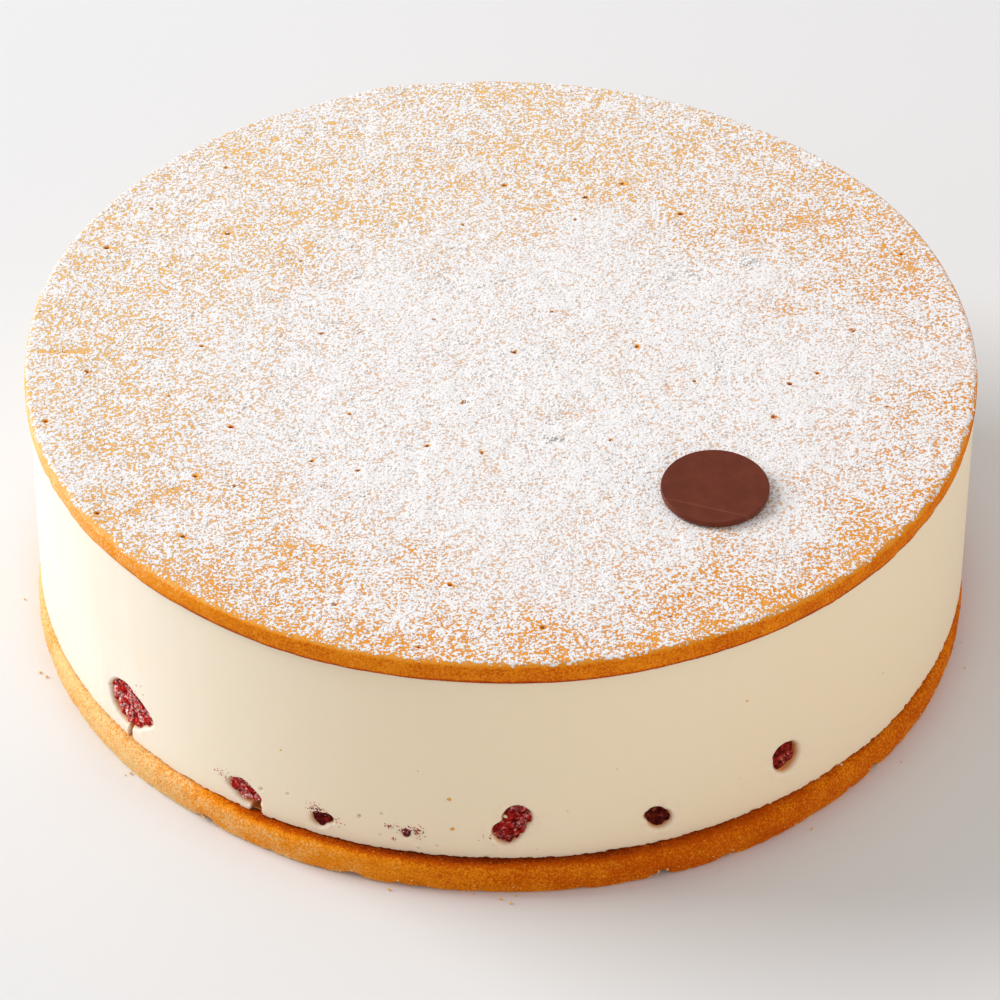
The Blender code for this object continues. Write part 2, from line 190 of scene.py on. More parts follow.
# %% Patterns
def cloud(tree, vector, scale, detail=3.0, roughness=0.5, distortion=0.0):
    """Soft noise from 0 to 1. scale is in cells for each unit of the vector."""
    wires = {"Vector": vector, "Scale": scale, "Detail": detail, "Roughness": roughness}
    return add_node(tree, "ShaderNodeTexNoise", {**wires, "Distortion": distortion}).outputs["Fac"]


def cells(tree, vector, scale, feature="F1"):
    """Distance to the nearest of scattered points, or to the border between their cells."""
    wires = {"Vector": vector, "Scale": scale, "Randomness": 1.0}
    return add_node(tree, "ShaderNodeTexVoronoi", wires, feature=feature).outputs["Distance"]


# %% Sums and blends
def maths(tree, operation, *values):
    """One Math node with its values in order."""
    wires = dict(enumerate(values))
    return add_node(tree, "ShaderNodeMath", wires, operation=operation).outputs[0]


def times(tree, first, *others):
    """The product of two or more values."""
    for other in others:
        first = maths(tree, "MULTIPLY", first, other)
    return first


def plus(tree, first, *others):
    """The sum of two or more values."""
    for other in others:
        first = maths(tree, "ADD", first, other)
    return first


def step(tree, value, low, high, first=0.0, last=1.0):
    """A soft step from first to last as value goes from low to high."""
    wires = {"Value": value, "From Min": low, "From Max": high, "To Min": first, "To Max": last}
    made = add_node(tree, "ShaderNodeMapRange", wires, interpolation_type="SMOOTHSTEP")
    return made.outputs["Result"]


def mix(tree, share, first, second):
    """The colour first where share is 0 and second where it is 1."""
    wires = {0: share, 6: first, 7: second}
    return add_node(tree, "ShaderNodeMix", wires, data_type="RGBA").outputs[2]


# %% Places on a piece
def stretched(tree, vector, scales):
    """The vector with each of its parts multiplied by its own scale."""
    wires = {0: vector, 1: scales}
    return add_node(tree, "ShaderNodeVectorMath", wires, operation="MULTIPLY").outputs[0]


def in_mm(tree):
    """Places on the piece in millimetres, so that scales are cells for each millimetre."""
    place = add_node(tree, "ShaderNodeTexCoord").outputs["Object"]
    return stretched(tree, place, (1.0 / MM, 1.0 / MM, 1.0 / MM))


def part_of(tree, vector, letter):
    """One of the vector's parts: X, Y or Z."""
    return add_node(tree, "ShaderNodeSeparateXYZ", {0: vector}).outputs[letter]


def reach_along(tree, vector, direction):
    """How far each place lies in a direction, times that direction's length."""
    wires = {0: vector, 1: direction}
    return add_node(tree, "ShaderNodeVectorMath", wires, operation="DOT_PRODUCT").outputs["Value"]


def from_cream_axis(tree, place):
    """How far each place is from the cream's upright axis."""
    wires = {0: place, 1: (*CREAM_AXIS, 0.0)}
    moved = add_node(tree, "ShaderNodeVectorMath", wires, operation="SUBTRACT").outputs[0]
    flat = stretched(tree, moved, (1, 1, 0))
    return add_node(tree, "ShaderNodeVectorMath", {0: flat}, operation="LENGTH").outputs["Value"]


def attribute(tree, name):
    """A number that the mesh stores at each of its points."""
    node = add_node(tree, "ShaderNodeAttribute", attribute_name=name, attribute_type="GEOMETRY")
    return node.outputs["Fac"]


# %% Groups and materials
def new_group(name, inputs, outputs):
    """An empty shader node group and its inner input and output nodes."""
    tree = bpy.data.node_groups.new(name, "ShaderNodeTree")
    for label, kind in inputs:
        tree.interface.new_socket(label, in_out="INPUT", socket_type=kind)
    for label, kind in outputs:
        tree.interface.new_socket(label, in_out="OUTPUT", socket_type=kind)
    return tree, tree.nodes.new("NodeGroupInput").outputs, tree.nodes.new("NodeGroupOutput")


def use_group(tree, name, wires):
    """The outputs of a group placed in a material, with its inputs wired or set."""
    return add_node(tree, "ShaderNodeGroup", wires, node_tree=bpy.data.node_groups[name]).outputs


def new_material(name, **values):
    """A material whose Principled shader has those values, its tree and that shader."""
    made = bpy.data.materials.new(name)
    made.use_nodes = True
    shader = made.node_tree.nodes["Principled BSDF"]
    for label, value in values.items():
        shader.inputs[label.replace("_", " ")].default_value = value
    return made, made.node_tree, shader


def finish_with(tree, shader, colour=None, roughness=None, height=None, depth=0.2 * MM):
    """Wires a colour, a roughness and a relief of that depth to the shader."""
    if colour is not None:
        tree.links.new(colour, shader.inputs["Base Color"])
    if roughness is not None:
        tree.links.new(roughness, shader.inputs["Roughness"])
    if height is not None:
        wires = {"Strength": 1.0, "Distance": depth, "Height": height}
        bump = add_node(tree, "ShaderNodeBump", wires)
        tree.links.new(bump.outputs["Normal"], shader.inputs["Normal"])


print("node helpers made, and", len(bpy.data.materials), "materials so far")


# %% [markdown]
# ## The table
# The torte stands on a plain pale surface. It is only a stage for the light, so it gets a large
# plane and an even, nearly white finish with a trace of gloss.

# %% Table
TABLE_HALF = 6.0
table_mesh = bpy.data.meshes.new("table")
corners = [(-TABLE_HALF, -TABLE_HALF, 0.0), (TABLE_HALF, -TABLE_HALF, 0.0)]
corners += [(TABLE_HALF, TABLE_HALF, 0.0), (-TABLE_HALF, TABLE_HALF, 0.0)]
table_mesh.from_pydata(corners, [], [(0, 1, 2, 3)])
table = bpy.data.objects.new("table", table_mesh)
bpy.context.scene.collection.objects.link(table)
pale, _, _ = new_material("pale table", Base_Color=tone(226, 226, 225), Roughness=0.7)
table_mesh.materials.append(pale)
print("table laid")

# %% [markdown]
# ## Noise for shapes
# A crumb's edge is real form: it catches light and breaks the outline. Shader noise can't do
# that, so shapes need their own noise. This one hashes the corners of a grid of cells and blends
# between them. A sum of finer and finer layers gives the uneven look of baked or torn food.


# %% Shape noise
def lattice_noise(points, seed):
    """Smooth noise from -1 to 1 at points whose unit is one noise cell."""
    cell = np.floor(points).astype(np.int64)
    part = points - cell
    part = part * part * (3.0 - 2.0 * part)
    total = np.zeros(len(points))
    for corner in np.ndindex(2, 2, 2):
        at = cell + corner
        code = at[:, 0] * 73856093 ^ at[:, 1] * 19349663 ^ at[:, 2] * 83492791 ^ seed * 40503
        code = (code ^ code >> 13) * 1274126177 & 0xFFFFFFFF
        code = (code ^ code >> 16) * 2246822519 & 0xFFFFFFFF
        weight = np.prod(np.where(corner, part, 1.0 - part), axis=1)
        total += (code / 0x7FFFFFFF - 1.0) * weight
    return total


def rough(points, size, layers, seed):
    """Layered noise whose largest lumps are size millimetres across."""
    total = np.zeros(len(points))
    for layer in range(layers):
        total += lattice_noise(points * 2.0**layer / size + 17.3 * layer, seed + layer) / 2.0**layer
    return total


three_points = np.array([[0.2, 0.4, 0.1], [3, 4, 5.5], [9, 1, 2]])
print("noise at three points:", rough(three_points, 2.0, 3, 1))


# %% Shares, bearings and places
def unit(value):
    """The value, held between 0 and 1."""
    return np.clip(value, 0.0, 1.0)


def smooth(value, low, high):
    """A soft step from 0 to 1 as value goes from low to high."""
    share = unit((value - low) / (high - low))
    return share * share * (3.0 - 2.0 * share)


def degrees_past(angle, bearing):
    """How far an angle in radians lies past a bearing in degrees, from -180 to 180 degrees."""
    return (np.degrees(angle) - bearing + 180.0) % 360.0 - 180.0


def at_height(x, y, height=0.0):
    """Points over those places, all at one height or each at its own."""
    return np.stack((x, y, height + np.zeros_like(x)), axis=-1)


print("a quarter of the way up a soft step is", smooth(0.25, 0.0, 1.0))

# %% [markdown]
# ## Turned layers
# All three layers were cut or set in a ring, so each is a profile turned round an axis. Blender's
# Screw modifier could turn it, but the relief has to follow each point's own outward direction,
# so the rows of points are made with numpy. The hidden ends close with a fan of triangles.


# %% Turn a profile
def turned(profile, sides):
    """Points, outward directions and faces of a closed turned piece. profile runs from the lowest
    hidden ring to the highest one, as (radius, height)."""
    profile = np.array(profile, float)
    angle = np.linspace(0.0, math.tau, sides, endpoint=False)
    slope = np.gradient(profile, axis=0)
    slope /= np.linalg.norm(slope, axis=1)[:, None]
    around = np.stack((np.cos(angle), np.sin(angle)), axis=-1)
    points = np.zeros((len(profile), sides, 3))
    points[:, :, :2] = profile[:, None, 0:1] * around[None]
    points[:, :, 2] = profile[:, None, 1]
    outward = np.zeros_like(points)
    outward[:, :, :2] = slope[:, None, 1:2] * around[None]
    outward[:, :, 2] = -slope[:, None, 0]
    index = np.arange(len(profile) * sides).reshape(len(profile), sides)
    after = np.roll(index, -1, axis=1)
    quads = np.stack((index[:-1], after[:-1], after[1:], index[1:]), axis=-1).reshape(-1, 4)
    return points.reshape(-1, 3), outward.reshape(-1, 3), quads.tolist(), index


def close_ends(points, faces, index):
    """Adds a middle point and a fan of triangles at each end."""
    count = len(points)
    first, last = index[0], index[-1]
    ends = np.array([points[first].mean(axis=0), points[last].mean(axis=0)])
    fans = [(count, b, a) for a, b in zip(first.tolist(), np.roll(first, -1).tolist())]
    fans += [(count + 1, a, b) for a, b in zip(last.tolist(), np.roll(last, -1).tolist())]
    return np.concatenate((points, ends)), faces + fans


tube = turned([(1.0, 0.0), (1.0, 1.0), (1.0, 2.0)], 8)
print("a tube of 3 rows and 8 sides has", len(tube[2]), "faces")


# %% Refine near fine things
def refine(points, faces, near, cuts):
    """Cuts every face whose middle is near something fine into a grid of smaller ones."""
    coarse = bpy.data.meshes.new("coarse")
    coarse.from_pydata(points.tolist(), [], faces)
    fine = bmesh.new()
    fine.from_mesh(coarse)
    bpy.data.meshes.remove(coarse)
    fine.faces.ensure_lookup_table()
    middles = np.array([face.calc_center_median() for face in fine.faces])
    chosen = {edge for number in np.flatnonzero(near(middles)) for edge in fine.faces[number].edges}
    bmesh.ops.subdivide_edges(fine, edges=list(chosen), cuts=cuts, use_grid_fill=True)
    fine.verts.index_update()
    points = np.array([vert.co for vert in fine.verts])
    faces = [[vert.index for vert in face.verts] for face in fine.faces]
    fine.free()
    return points, faces


# %% Make a piece and place it
def new_piece(name, points, faces, material):
    """A smooth mesh object from points in millimetres."""
    mesh = bpy.data.meshes.new(name)
    mesh.from_pydata((points * MM).tolist(), [], faces)
    mesh.materials.append(material)
    mesh.shade_smooth()
    mesh.update()
    piece = bpy.data.objects.new(name, mesh)
    bpy.context.scene.collection.objects.link(piece)
    return piece


def on_torte(piece, slot, *nodes):
    """The piece rides with the torte and stands for those nodes. slot is not used."""
    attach(piece, "root")
    if nodes:
        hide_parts(*nodes)
    print(piece.name, len(piece.data.vertices), "points", len(piece.data.polygons), "faces")


# %% [markdown]
# ## Sponge
# Thin sponge bakes to a golden skin with a darker bloom, and fine open pores where it was cut.
# The middle of each pore is tinted darker, as painted shade. Both discs share it, so the crumb is
# one group: it takes the place in millimetres and how deeply that spot is baked, with painted light
# and shade added in by each disc, and gives the colour and a height for the bump.

# %% Sponge crumb group
tree, given, result = new_group(
    "sponge crumb",
    (("Place", "NodeSocketVector"), ("Bake", "NodeSocketFloat")),
    (("Colour", "NodeSocketColor"), ("Height", "NodeSocketFloat")),
)
grain = step(tree, cloud(tree, given["Place"], 1.5, 3.0, 0.7), 0.30, 0.70)
bloom = cloud(tree, given["Place"], 0.11, 3.0, 0.55)
pores = step(tree, cells(tree, given["Place"], 1.25), 0.05, 0.42)
depth = maths(tree, "MULTIPLY_ADD", bloom, 0.9, given["Bake"])
depth = maths(tree, "MULTIPLY_ADD", grain, 0.6, maths(tree, "SUBTRACT", depth, 0.02))
golden = mix(tree, step(tree, depth, 0.35, 1.0), tone(243, 202, 136), tone(238, 142, 20))
brown = mix(tree, step(tree, depth, 0.95, 1.75), golden, tone(192, 80, 0))
brown = mix(tree, step(tree, depth, 1.75, 2.5), brown, tone(136, 44, 2))
flecks = step(tree, cloud(tree, given["Place"], 1.15, 2.0, 0.7), 0.60, 0.72, 0.0, 0.5)
crumb_colour = mix(tree, flecks, brown, tone(246, 178, 72))
# Painted shade in the pores: the middle of each pore is mixed toward a darker brown.
pore_shade = maths(tree, "MULTIPLY_ADD", pores, -0.12, 0.12)
crumb_colour = mix(tree, pore_shade, crumb_colour, tone(184, 92, 16))
tree.links.new(crumb_colour, result.inputs["Colour"])
crumb_height = maths(tree, "MULTIPLY_ADD", grain, 0.5, pores)
tree.links.new(crumb_height, result.inputs["Height"])
print("group sponge crumb has", len(tree.nodes), "nodes")

# %% [markdown]
# ## The base
# The bottom disc sticks out a little under the cream. Its upper edge is round and well baked,
# and is also painted darker with the cream's contact shadow. Its lower edge is where it was cut,
# so crumbs and nicks break the line on the table.

# %% Base profile
# Nicks in the foot: bearing, half width in degrees, depth.
BASE_SIDES = 1440
BASE_EDGE = 2.2
EDGE_ROWS = 11
NICKED_HIGH = 4.0
BASE_NICKS = ((-70.6, 1.1, 1.7), (-127.6, 1.6, 1.3), (-107.5, 1.3, 1.1))
BASE_NICKS += ((-38.0, 0.9, 1.2), (152.0, 1.4, 1.5))


def base_profile():
    """Radius past the outline and height, from under the foot to under the cream."""
    points = [(-12.0, 0.0), (-6.0, 0.0), (-3.0, 0.0), (-1.9, 0.0), (-1.2, 0.05), (-0.8, 0.45)]
    points += [(-0.55 + 0.1 * row, 0.95 + 0.55 * row) for row in range(6)]
    points += [(0.1 - 0.02 * row, 4.2 + 0.8 * row) for row in range(4)]
    for row in range(1, EDGE_ROWS + 1):
        angle = math.pi / 2 * row / EDGE_ROWS
        drop = BASE_EDGE * (1.0 - math.sin(angle))
        points.append((BASE_EDGE * (math.cos(angle) - 1.0), BASE_HIGH - drop))
    return points + [(-BASE_EDGE - 0.8 * row, BASE_HIGH) for row in range(1, 11)]


print("rows in the base's profile:", len(base_profile()))

# %% Base relief
points, outward, faces, index = turned(base_profile(), BASE_SIDES)
angle = np.tile(np.linspace(0.0, math.tau, BASE_SIDES, endpoint=False), len(index))
around = at_height(np.cos(angle), np.sin(angle))
points += around * base_outline(angle)[:, None] + (*BASE_AXIS, 0.0)
relief = rough(points, 7.0, 2, 3) * 0.16 + rough(points, 1.6, 2, 9) * 0.12
low_share = unit(1.0 - points[:, 2] / NICKED_HIGH)
relief -= low_share * unit(rough(points * (1, 1, 0.3), 4.5, 2, 21) - 0.25) * 0.8
for bearing, spread, bite in BASE_NICKS:
    off = degrees_past(angle, bearing)
    relief -= bite * low_share * np.exp(-((off / spread) ** 2))
relief *= np.repeat(np.array([radius > -9.0 for radius, _ in base_profile()]), BASE_SIDES)
points += outward * relief[:, None]
points[:, 2] = np.clip(points[:, 2], 0.0, BASE_HIGH + 0.15)
points, faces = close_ends(points, faces, index)
print(f"base relief from {relief.min():.2f} to {relief.max():.2f} mm")

# %% Base finish
# The skin is darkest just under the cream: browned crust with a painted contact shadow. The left
# side is paler and the right darker, partly baked tone and partly painted light and shade from the
# window on the left. Each browning is where it starts and ends from left to right, and how much
# it deepens the colour, baking and painted shade together.
BROWNING_AND_SHADE = ((-45.0, -12.0, 0.36), (-12.0, 60.0, 0.32), (68.0, 92.0, -0.16))
sponge, tree, shader = new_material("sponge", Roughness=0.9, Specular_IOR_Level=0.05)
place = in_mm(tree)
height = part_of(tree, place, "Z")
radius = from_cream_axis(tree, place)
across = part_of(tree, place, "X")
# Painted light and shade: paler toward the lit left and deeper toward the right, over the baked tone.
bake_and_shade = step(tree, across, -118.0, -45.0, -0.24, 0.2)
for start, end, more in BROWNING_AND_SHADE:
    bake_and_shade = plus(tree, bake_and_shade, step(tree, across, start, end, 0.0, more))
# Painted contact shadow under the cream, over the browned crust there: faint on the lit left, strongest at
# the front left and fading to the right.
near_cream = step(tree, radius, CREAM_RADIUS + 3.9, CREAM_RADIUS + 0.5, 0.0, 1.15)
from_left = step(tree, across, -92.0, -62.0, 0.0, 1.06)
to_right = step(tree, across, -30.0, 105.0, 1.0, 0.0)
high_up = step(tree, height, BASE_HIGH - 4.4, BASE_HIGH - 0.5)
crust_and_contact_shadow = times(tree, near_cream, from_left, to_right, high_up)
foot = step(tree, height, 1.8, 0.3, 0.0, -0.3)
bake_and_shade = plus(tree, bake_and_shade, crust_and_contact_shadow, foot)
crumb = use_group(tree, "sponge crumb", {"Place": place, "Bake": bake_and_shade})
finish_with(tree, shader, crumb["Colour"], None, crumb["Height"], 0.2 * MM)
base = new_piece("base_disc", points, faces, sponge)
on_torte(base, "sponge", "base_sponge")

# %% [markdown]
# ## Hollows in the cream
# The berries were pressed against the ring's wall, and the cream set round them. Where a berry
# shows, the cream has a hollow with a soft lip. A Boolean could cut it, but a sunk wall is
# quicker and gives a softer lip: the wall's mesh is made finer near each berry, and its points
# move inward by the hollow's depth. An outline is a few corners, softened between them.

# %% Berry outlines
# Bearing and height of the middle, depth, corners of what shows, and corners of the hollow.
BERRIES = (
    (-140.1, 22.0, 7.5,
     ((11.3, 0.4), (7.5, 3.0), (3.0, 5.4), (-5.5, 6.1), (-10.2, 0.8), (-7.9, -3.7), (0.2, -7.6), (6.0, -3.4)),
     ((11.8, 0.5), (7.9, 3.2), (3.2, 5.9), (-5.9, 6.6), (-10.9, 1.0), (-9.3, -5.3), (-3.6, -9.0), (0.6, -8.3),
      (6.4, -3.9))),
    (-121.7, 16.3, 6.0,
     ((6.1, -2.1), (3.1, 1.6), (-2.8, 3.2), (-6.1, 0.5), (-3.2, -1.5), (1.8, -2.7)),
     ((6.7, -2.4), (3.4, 2.1), (-3.0, 3.7), (-6.6, 0.6), (-3.6, -2.0), (2.6, -4.6))),
    (-111.2, 15.6, 5.0,
     ((3.9, 0.5), (2.6, 2.3), (0.0, 2.2), (-3.2, 1.4), (-3.8, -0.7), (-2.2, -2.1), (-0.6, -2.7), (0.7, -2.0),
      (1.8, -0.5)),
     ((4.4, 0.5), (3.0, 2.8), (0.0, 2.7), (-3.6, 1.8), (-4.4, -0.8), (-2.8, -2.8), (-1.2, -3.5), (0.9, -2.5),
      (2.3, -0.9))),
    (-101.0, 16.9, 4.5,
     ((1.5, 0.3), (0.1, 1.6), (-1.5, 0.3), (0.1, -1.6)),
     ((1.9, 0.4), (0.1, 2.0), (-1.9, 0.4), (0.1, -2.0))),
    (-88.5, 22.3, 7.5,
     ((5.5, 3.4), (3.3, 6.7), (-0.1, 7.2), (-2.3, 4.3), (-2.7, 1.2), (-6.1, -2.0), (-2.8, -7.6), (1.8, -4.3),
      (3.9, -0.8)),
     ((6.1, 3.6), (3.6, 7.2), (-0.2, 7.8), (-3.1, 4.8), (-3.3, 1.5), (-6.7, -2.1), (-3.1, -8.1), (2.2, -4.9),
      (4.4, -1.0))),
    (-71.2, 19.3, 5.5,
     ((4.1, -0.9), (1.9, 2.2), (-3.3, 3.2), (-4.8, 1.3), (-3.4, -0.8), (1.0, -3.6)),
     ((4.6, -1.2), (2.1, 2.7), (-3.6, 3.7), (-5.3, 1.5), (-3.8, -1.2), (0.7, -5.6), (3.6, -4.3))),
    (-54.6, 25.6, 6.5,
     ((3.9, -0.3), (1.7, 4.9), (-2.4, 4.0), (-3.5, -0.8), (-1.6, -4.8), (1.6, -4.0)),
     ((6.1, -0.6), (3.9, 4.6), (0.2, 5.4), (-2.9, 4.4), (-4.0, -0.9), (-2.0, -5.4), (1.6, -7.5),
      (4.4, -5.2))),
    (21.0, 20.5, 6.0,
     ((5.2, 0.8), (1.4, 4.1), (-3.6, 2.8), (-4.9, -1.6), (0.6, -3.7)),
     ((5.7, 0.9), (1.6, 4.6), (-4.0, 3.1), (-5.5, -2.3), (0.8, -5.4))),
    (64.0, 17.2, 5.5,
     ((3.7, 1.9), (-0.8, 3.4), (-4.4, 0.2), (-1.2, -2.9), (3.0, -1.8)),
     ((4.1, 2.1), (-0.9, 3.8), (-4.8, 0.2), (-1.3, -3.3), (3.4, -2.0))),
    (117.0, 24.0, 7.0,
     ((7.4, -2.2), (4.1, 2.7), (-3.0, 4.4), (-7.2, 1.9), (-4.0, -2.8), (2.2, -4.0)),
     ((7.9, -2.8), (4.5, 3.1), (-3.2, 4.9), (-7.7, 2.1), (-4.4, -3.4), (2.6, -5.6))),
    (158.0, 18.8, 5.5,
     ((3.0, 2.6), (-1.9, 3.6), (-3.8, -0.9), (-0.4, -3.6), (3.1, -1.7)),
     ((3.4, 3.0), (-2.1, 4.1), (-4.3, -1.1), (-0.6, -5.0), (4.0, -2.7))),
)
print("berries:", len(BERRIES))

# %% Places on the wall
SOFTENING = (-14.0, -7.0, 0.0, 7.0, 14.0)


def reach_of(corners):
    """The outline through the corners: distance from the middle as a function of the angle."""
    bearings = [math.degrees(math.atan2(up, along)) for along, up in corners]
    reaches = [math.hypot(along, up) for along, up in corners]

    def reach(angle):
        """The mean over a few nearby directions, which rounds the corners off."""
        turned_by = [np.degrees(angle) + off for off in SOFTENING]
        return np.mean([np.interp(at, bearings, reaches, period=360.0) for at in turned_by], axis=0)

    return reach


def to_wall(points, bearing, height):
    """Moves points from a place's own frame (along the wall, up, outward) to the torte's."""
    angle = math.radians(bearing)
    out = np.array((math.cos(angle), math.sin(angle), 0.0))
    along = np.array((-math.sin(angle), math.cos(angle), 0.0))
    middle = np.array((*CREAM_AXIS, height)) + out * CREAM_RADIUS
    return points @ np.stack((along, (0.0, 0.0, 1.0), out)) + middle


def from_wall(points, bearing, height):
    """The opposite of to_wall: how far along the wall and how far up each point lies."""
    angle = np.arctan2(points[:, 1] - CREAM_AXIS[1], points[:, 0] - CREAM_AXIS[0])
    return np.radians(degrees_past(angle, bearing)) * CREAM_RADIUS, points[:, 2] - height


print("the wall in front, 20 mm up, is at", to_wall(np.zeros(3), -90.0, 20.0).round(1))

# %% Slits and pits
# Two hollows run down to the base through a slit, where cream never reached: bearing, half width
# below and above, top. The wall also has pinhead pits, where bubbles sat against the ring.
SLITS = ((-140.4, 1.3, 0.75, 14.8), (-120.0, 2.3, 1.3, 13.6))
SLIT_DEPTH = 4.2
PITS = ((-144.4, 22.8, 0.7), (-115.6, 21.5, 0.5), (-119.2, 19.6, 0.75), (-103.9, 22.9, 0.5))
PITS += ((-106.6, 20.4, 0.7), (-104.1, 14.8, 0.45), (-97.4, 13.6, 0.55), (-99.6, 11.9, 0.5))
PITS += ((-88.3, 31.2, 0.35), (-82.3, 26.6, 0.4), (-85.8, 13.0, 0.5), (-61.0, 24.6, 0.45))
HIDDEN_PITS = 14
draw = np.random.default_rng(5)
more = zip(draw.uniform(-20.0, 200.0, HIDDEN_PITS), draw.uniform(13.0, 40.0, HIDDEN_PITS))
PITS += tuple((bearing, height, draw.uniform(0.35, 0.7)) for bearing, height in more)
print("slits", len(SLITS), "pits", len(PITS))

# %% [markdown]
# ## The cream
# The set cream is smooth where the ring's film was, with a fine ragged foot where it met the
# sponge. The wall is turned with rows two millimetres apart and made finer at the foot and near
# each hollow, so that the mesh itself can be torn and sunk there.

# %% Cream profile
# Notches in the torn foot: bearing, half width in degrees, height.
CREAM_SIDES = 404
CREAM_NOTCHES = ((-100.3, 0.5, 0.9), (-91.6, 0.35, 1.1), (-77.0, 0.45, 0.7))
CREAM_NOTCHES += ((-58.5, 0.6, 0.9), (-46.0, 0.5, 0.7))


def cream_profile():
    """Radius and height, from under the wall to under the top disc."""
    rows = [(CREAM_RADIUS - inset, CREAM_LOW) for inset in (8.0, 4.0, 1.4)]
    rows += [(CREAM_RADIUS - 0.4, CREAM_LOW + 0.05), (CREAM_RADIUS, CREAM_LOW + 0.3)]
    rows += [(CREAM_RADIUS, height) for height in np.arange(CREAM_LOW + 1.6, CREAM_HIGH - 1.6, 2.05)]
    rows += [(CREAM_RADIUS, CREAM_HIGH - 0.8), (CREAM_RADIUS - 0.25, CREAM_HIGH - 0.25)]
    return rows + [(CREAM_RADIUS - 0.8, CREAM_HIGH), (CREAM_RADIUS - 8.0, CREAM_HIGH)]


print("rows in the cream's profile:", len(cream_profile()))

# %% Where the cream is cut
# LIP is how wide a hollow's soft lip is, and HUG how closely the cream hugs the berry.
FAR_AWAY = 99.0
LIP = 0.5
HUG = 0.3
PIT_DEPTH = 1.1


def past_outline(points, bearing, height, corners):
    """How far outside a hollow's outline each point lies, and what share of the reach it is at."""
    along, up = from_wall(points, bearing, height)
    away = np.hypot(along, up)
    reach = reach_of(corners)(np.arctan2(up, along))
    return np.where(away < 40.0, away - reach, FAR_AWAY), away / reach


def near_hollow(points):
    """Which points lie near the torn foot, a hollow, a slit or a pit."""
    close = points[:, 2] < CREAM_LOW + 1.6
    for bearing, height, _, _, corners in BERRIES:
        close |= past_outline(points, bearing, height, corners)[0] < 2.2
    for bearing, _, _, top in SLITS:
        along, up = from_wall(points, bearing, top)
        close |= (abs(along) < 4.5) & (up < 2.0)
    for bearing, height, size in PITS:
        along, up = from_wall(points, bearing, height)
        close |= np.hypot(along, up) < size + 1.4
    return close & (points[:, 2] > CREAM_LOW + 0.1)


front = to_wall(np.zeros((1, 3)), *BERRIES[4][:2])
print("the middle of the front berry lies in a hollow:", near_hollow(front))


# %% How deep it is cut
def hollow_depth(points):
    """How far each point of the wall is sunk."""
    sunk = np.zeros(len(points))
    for number, (bearing, height, depth, _, corners) in enumerate(BERRIES, start=1):
        past, share = past_outline(points, bearing, height, corners)
        past = past + HUG + 0.15 * rough(points, 1.7, 2, 40 + number)
        pocket = depth / 2 + (depth + 0.4) * np.sqrt(unit(1.0 - share**2))
        pocket = np.minimum(pocket, 0.15 - 1.15 * past)
        lip = 0.15 * unit(1.0 - past / LIP) ** 2
        sunk = np.maximum(sunk, np.where(past < 0.0, pocket, lip))
    for bearing, below, above, top in SLITS:
        along, up = from_wall(points, bearing, top)
        low = unit(-up / (top - CREAM_LOW))
        half = above + (below - above) * low**0.6 + 0.25 * rough(points, 1.4, 2, 60)
        open_share = unit((half - abs(along)) / 0.5) * unit((0.8 - up) / 0.6)
        sunk = np.maximum(sunk, SLIT_DEPTH * open_share**2 * (3.0 - 2.0 * open_share))
    for number, (bearing, height, size) in enumerate(PITS, start=1):
        along, up = from_wall(points, bearing, height)
        share = np.hypot(along, up) / size + 0.3 * rough(points, 0.9, 1, number)
        sunk = np.maximum(sunk, PIT_DEPTH * size * unit(1.0 - share**2))
    return sunk


print("the front hollow's depth in mm:", hollow_depth(front).round(2))

# %% Cream shape
HOLLOW_CUTS = 6
points, _, faces, index = turned(cream_profile(), CREAM_SIDES)
points, faces = close_ends(points, faces, index)
points[:, :2] += CREAM_AXIS
points, faces = refine(points, faces, near_hollow, HOLLOW_CUTS)
flat = points[:, :2] - CREAM_AXIS
angle = np.arctan2(flat[:, 1], flat[:, 0])
inset = np.hypot(flat[:, 0], flat[:, 1]) - CREAM_RADIUS
wall_share = unit(1.0 + inset / 0.6)
relief = rough(points * (1, 1, 0.25), 14.0, 2, 51) * 0.05 - hollow_depth(points)
foot_share = unit(1.0 - (points[:, 2] - CREAM_LOW) / 3.0) * wall_share
right_share = unit((np.degrees(angle) + 66.0) / 20.0) * (angle < 0.0)
torn = np.clip(rough(points * (1, 1, 0), 1.0, 2, 61), -0.2, 0.7) * (0.5 + 0.25 * right_share)
ridges = np.abs(rough(points * (1, 1, 0), 1.7, 2, 65))
torn += np.clip(1.3 * ridges - 0.2, 0.0, 0.8) * right_share
torn += 0.13 * np.clip(rough(points * (1, 1, 0), 5.0, 2, 63) * 9.0, -1.0, 1.0)
for bearing, spread, rise in CREAM_NOTCHES:
    off = degrees_past(angle, bearing)
    torn += rise * np.exp(-((off / spread) ** 2))
moved = cream_outline(angle) - CREAM_RADIUS + relief * wall_share
radius = CREAM_RADIUS + inset + moved * (inset > -20.0)
points[:, 0] = CREAM_AXIS[0] + radius * np.cos(angle)
points[:, 1] = CREAM_AXIS[1] + radius * np.sin(angle)
points[:, 2] += foot_share * torn
print(f"deepest hollow {-relief.min():.2f} mm")

# %% [markdown]
# ## The cream's finish
# Set cream is pale ivory, a little translucent, with faint upright smears from the film. Juice
# has tinted it pink close to each berry. Toward the right it turns warmer and darker, as painted
# shade away from the window, and the hollows turn amber with depth, partly juice and partly
# painted shade. The distance to the nearest berry is stored at each point, and the depth follows
# from the distance to the axis.

# %% Cream finish
def store(piece, name, values):
    """Keeps one number for each point, which a shader reads as an attribute."""
    layer = piece.data.attributes.new(name, "FLOAT", "POINT")
    layer.data.foreach_set("value", np.asarray(values, np.float32))


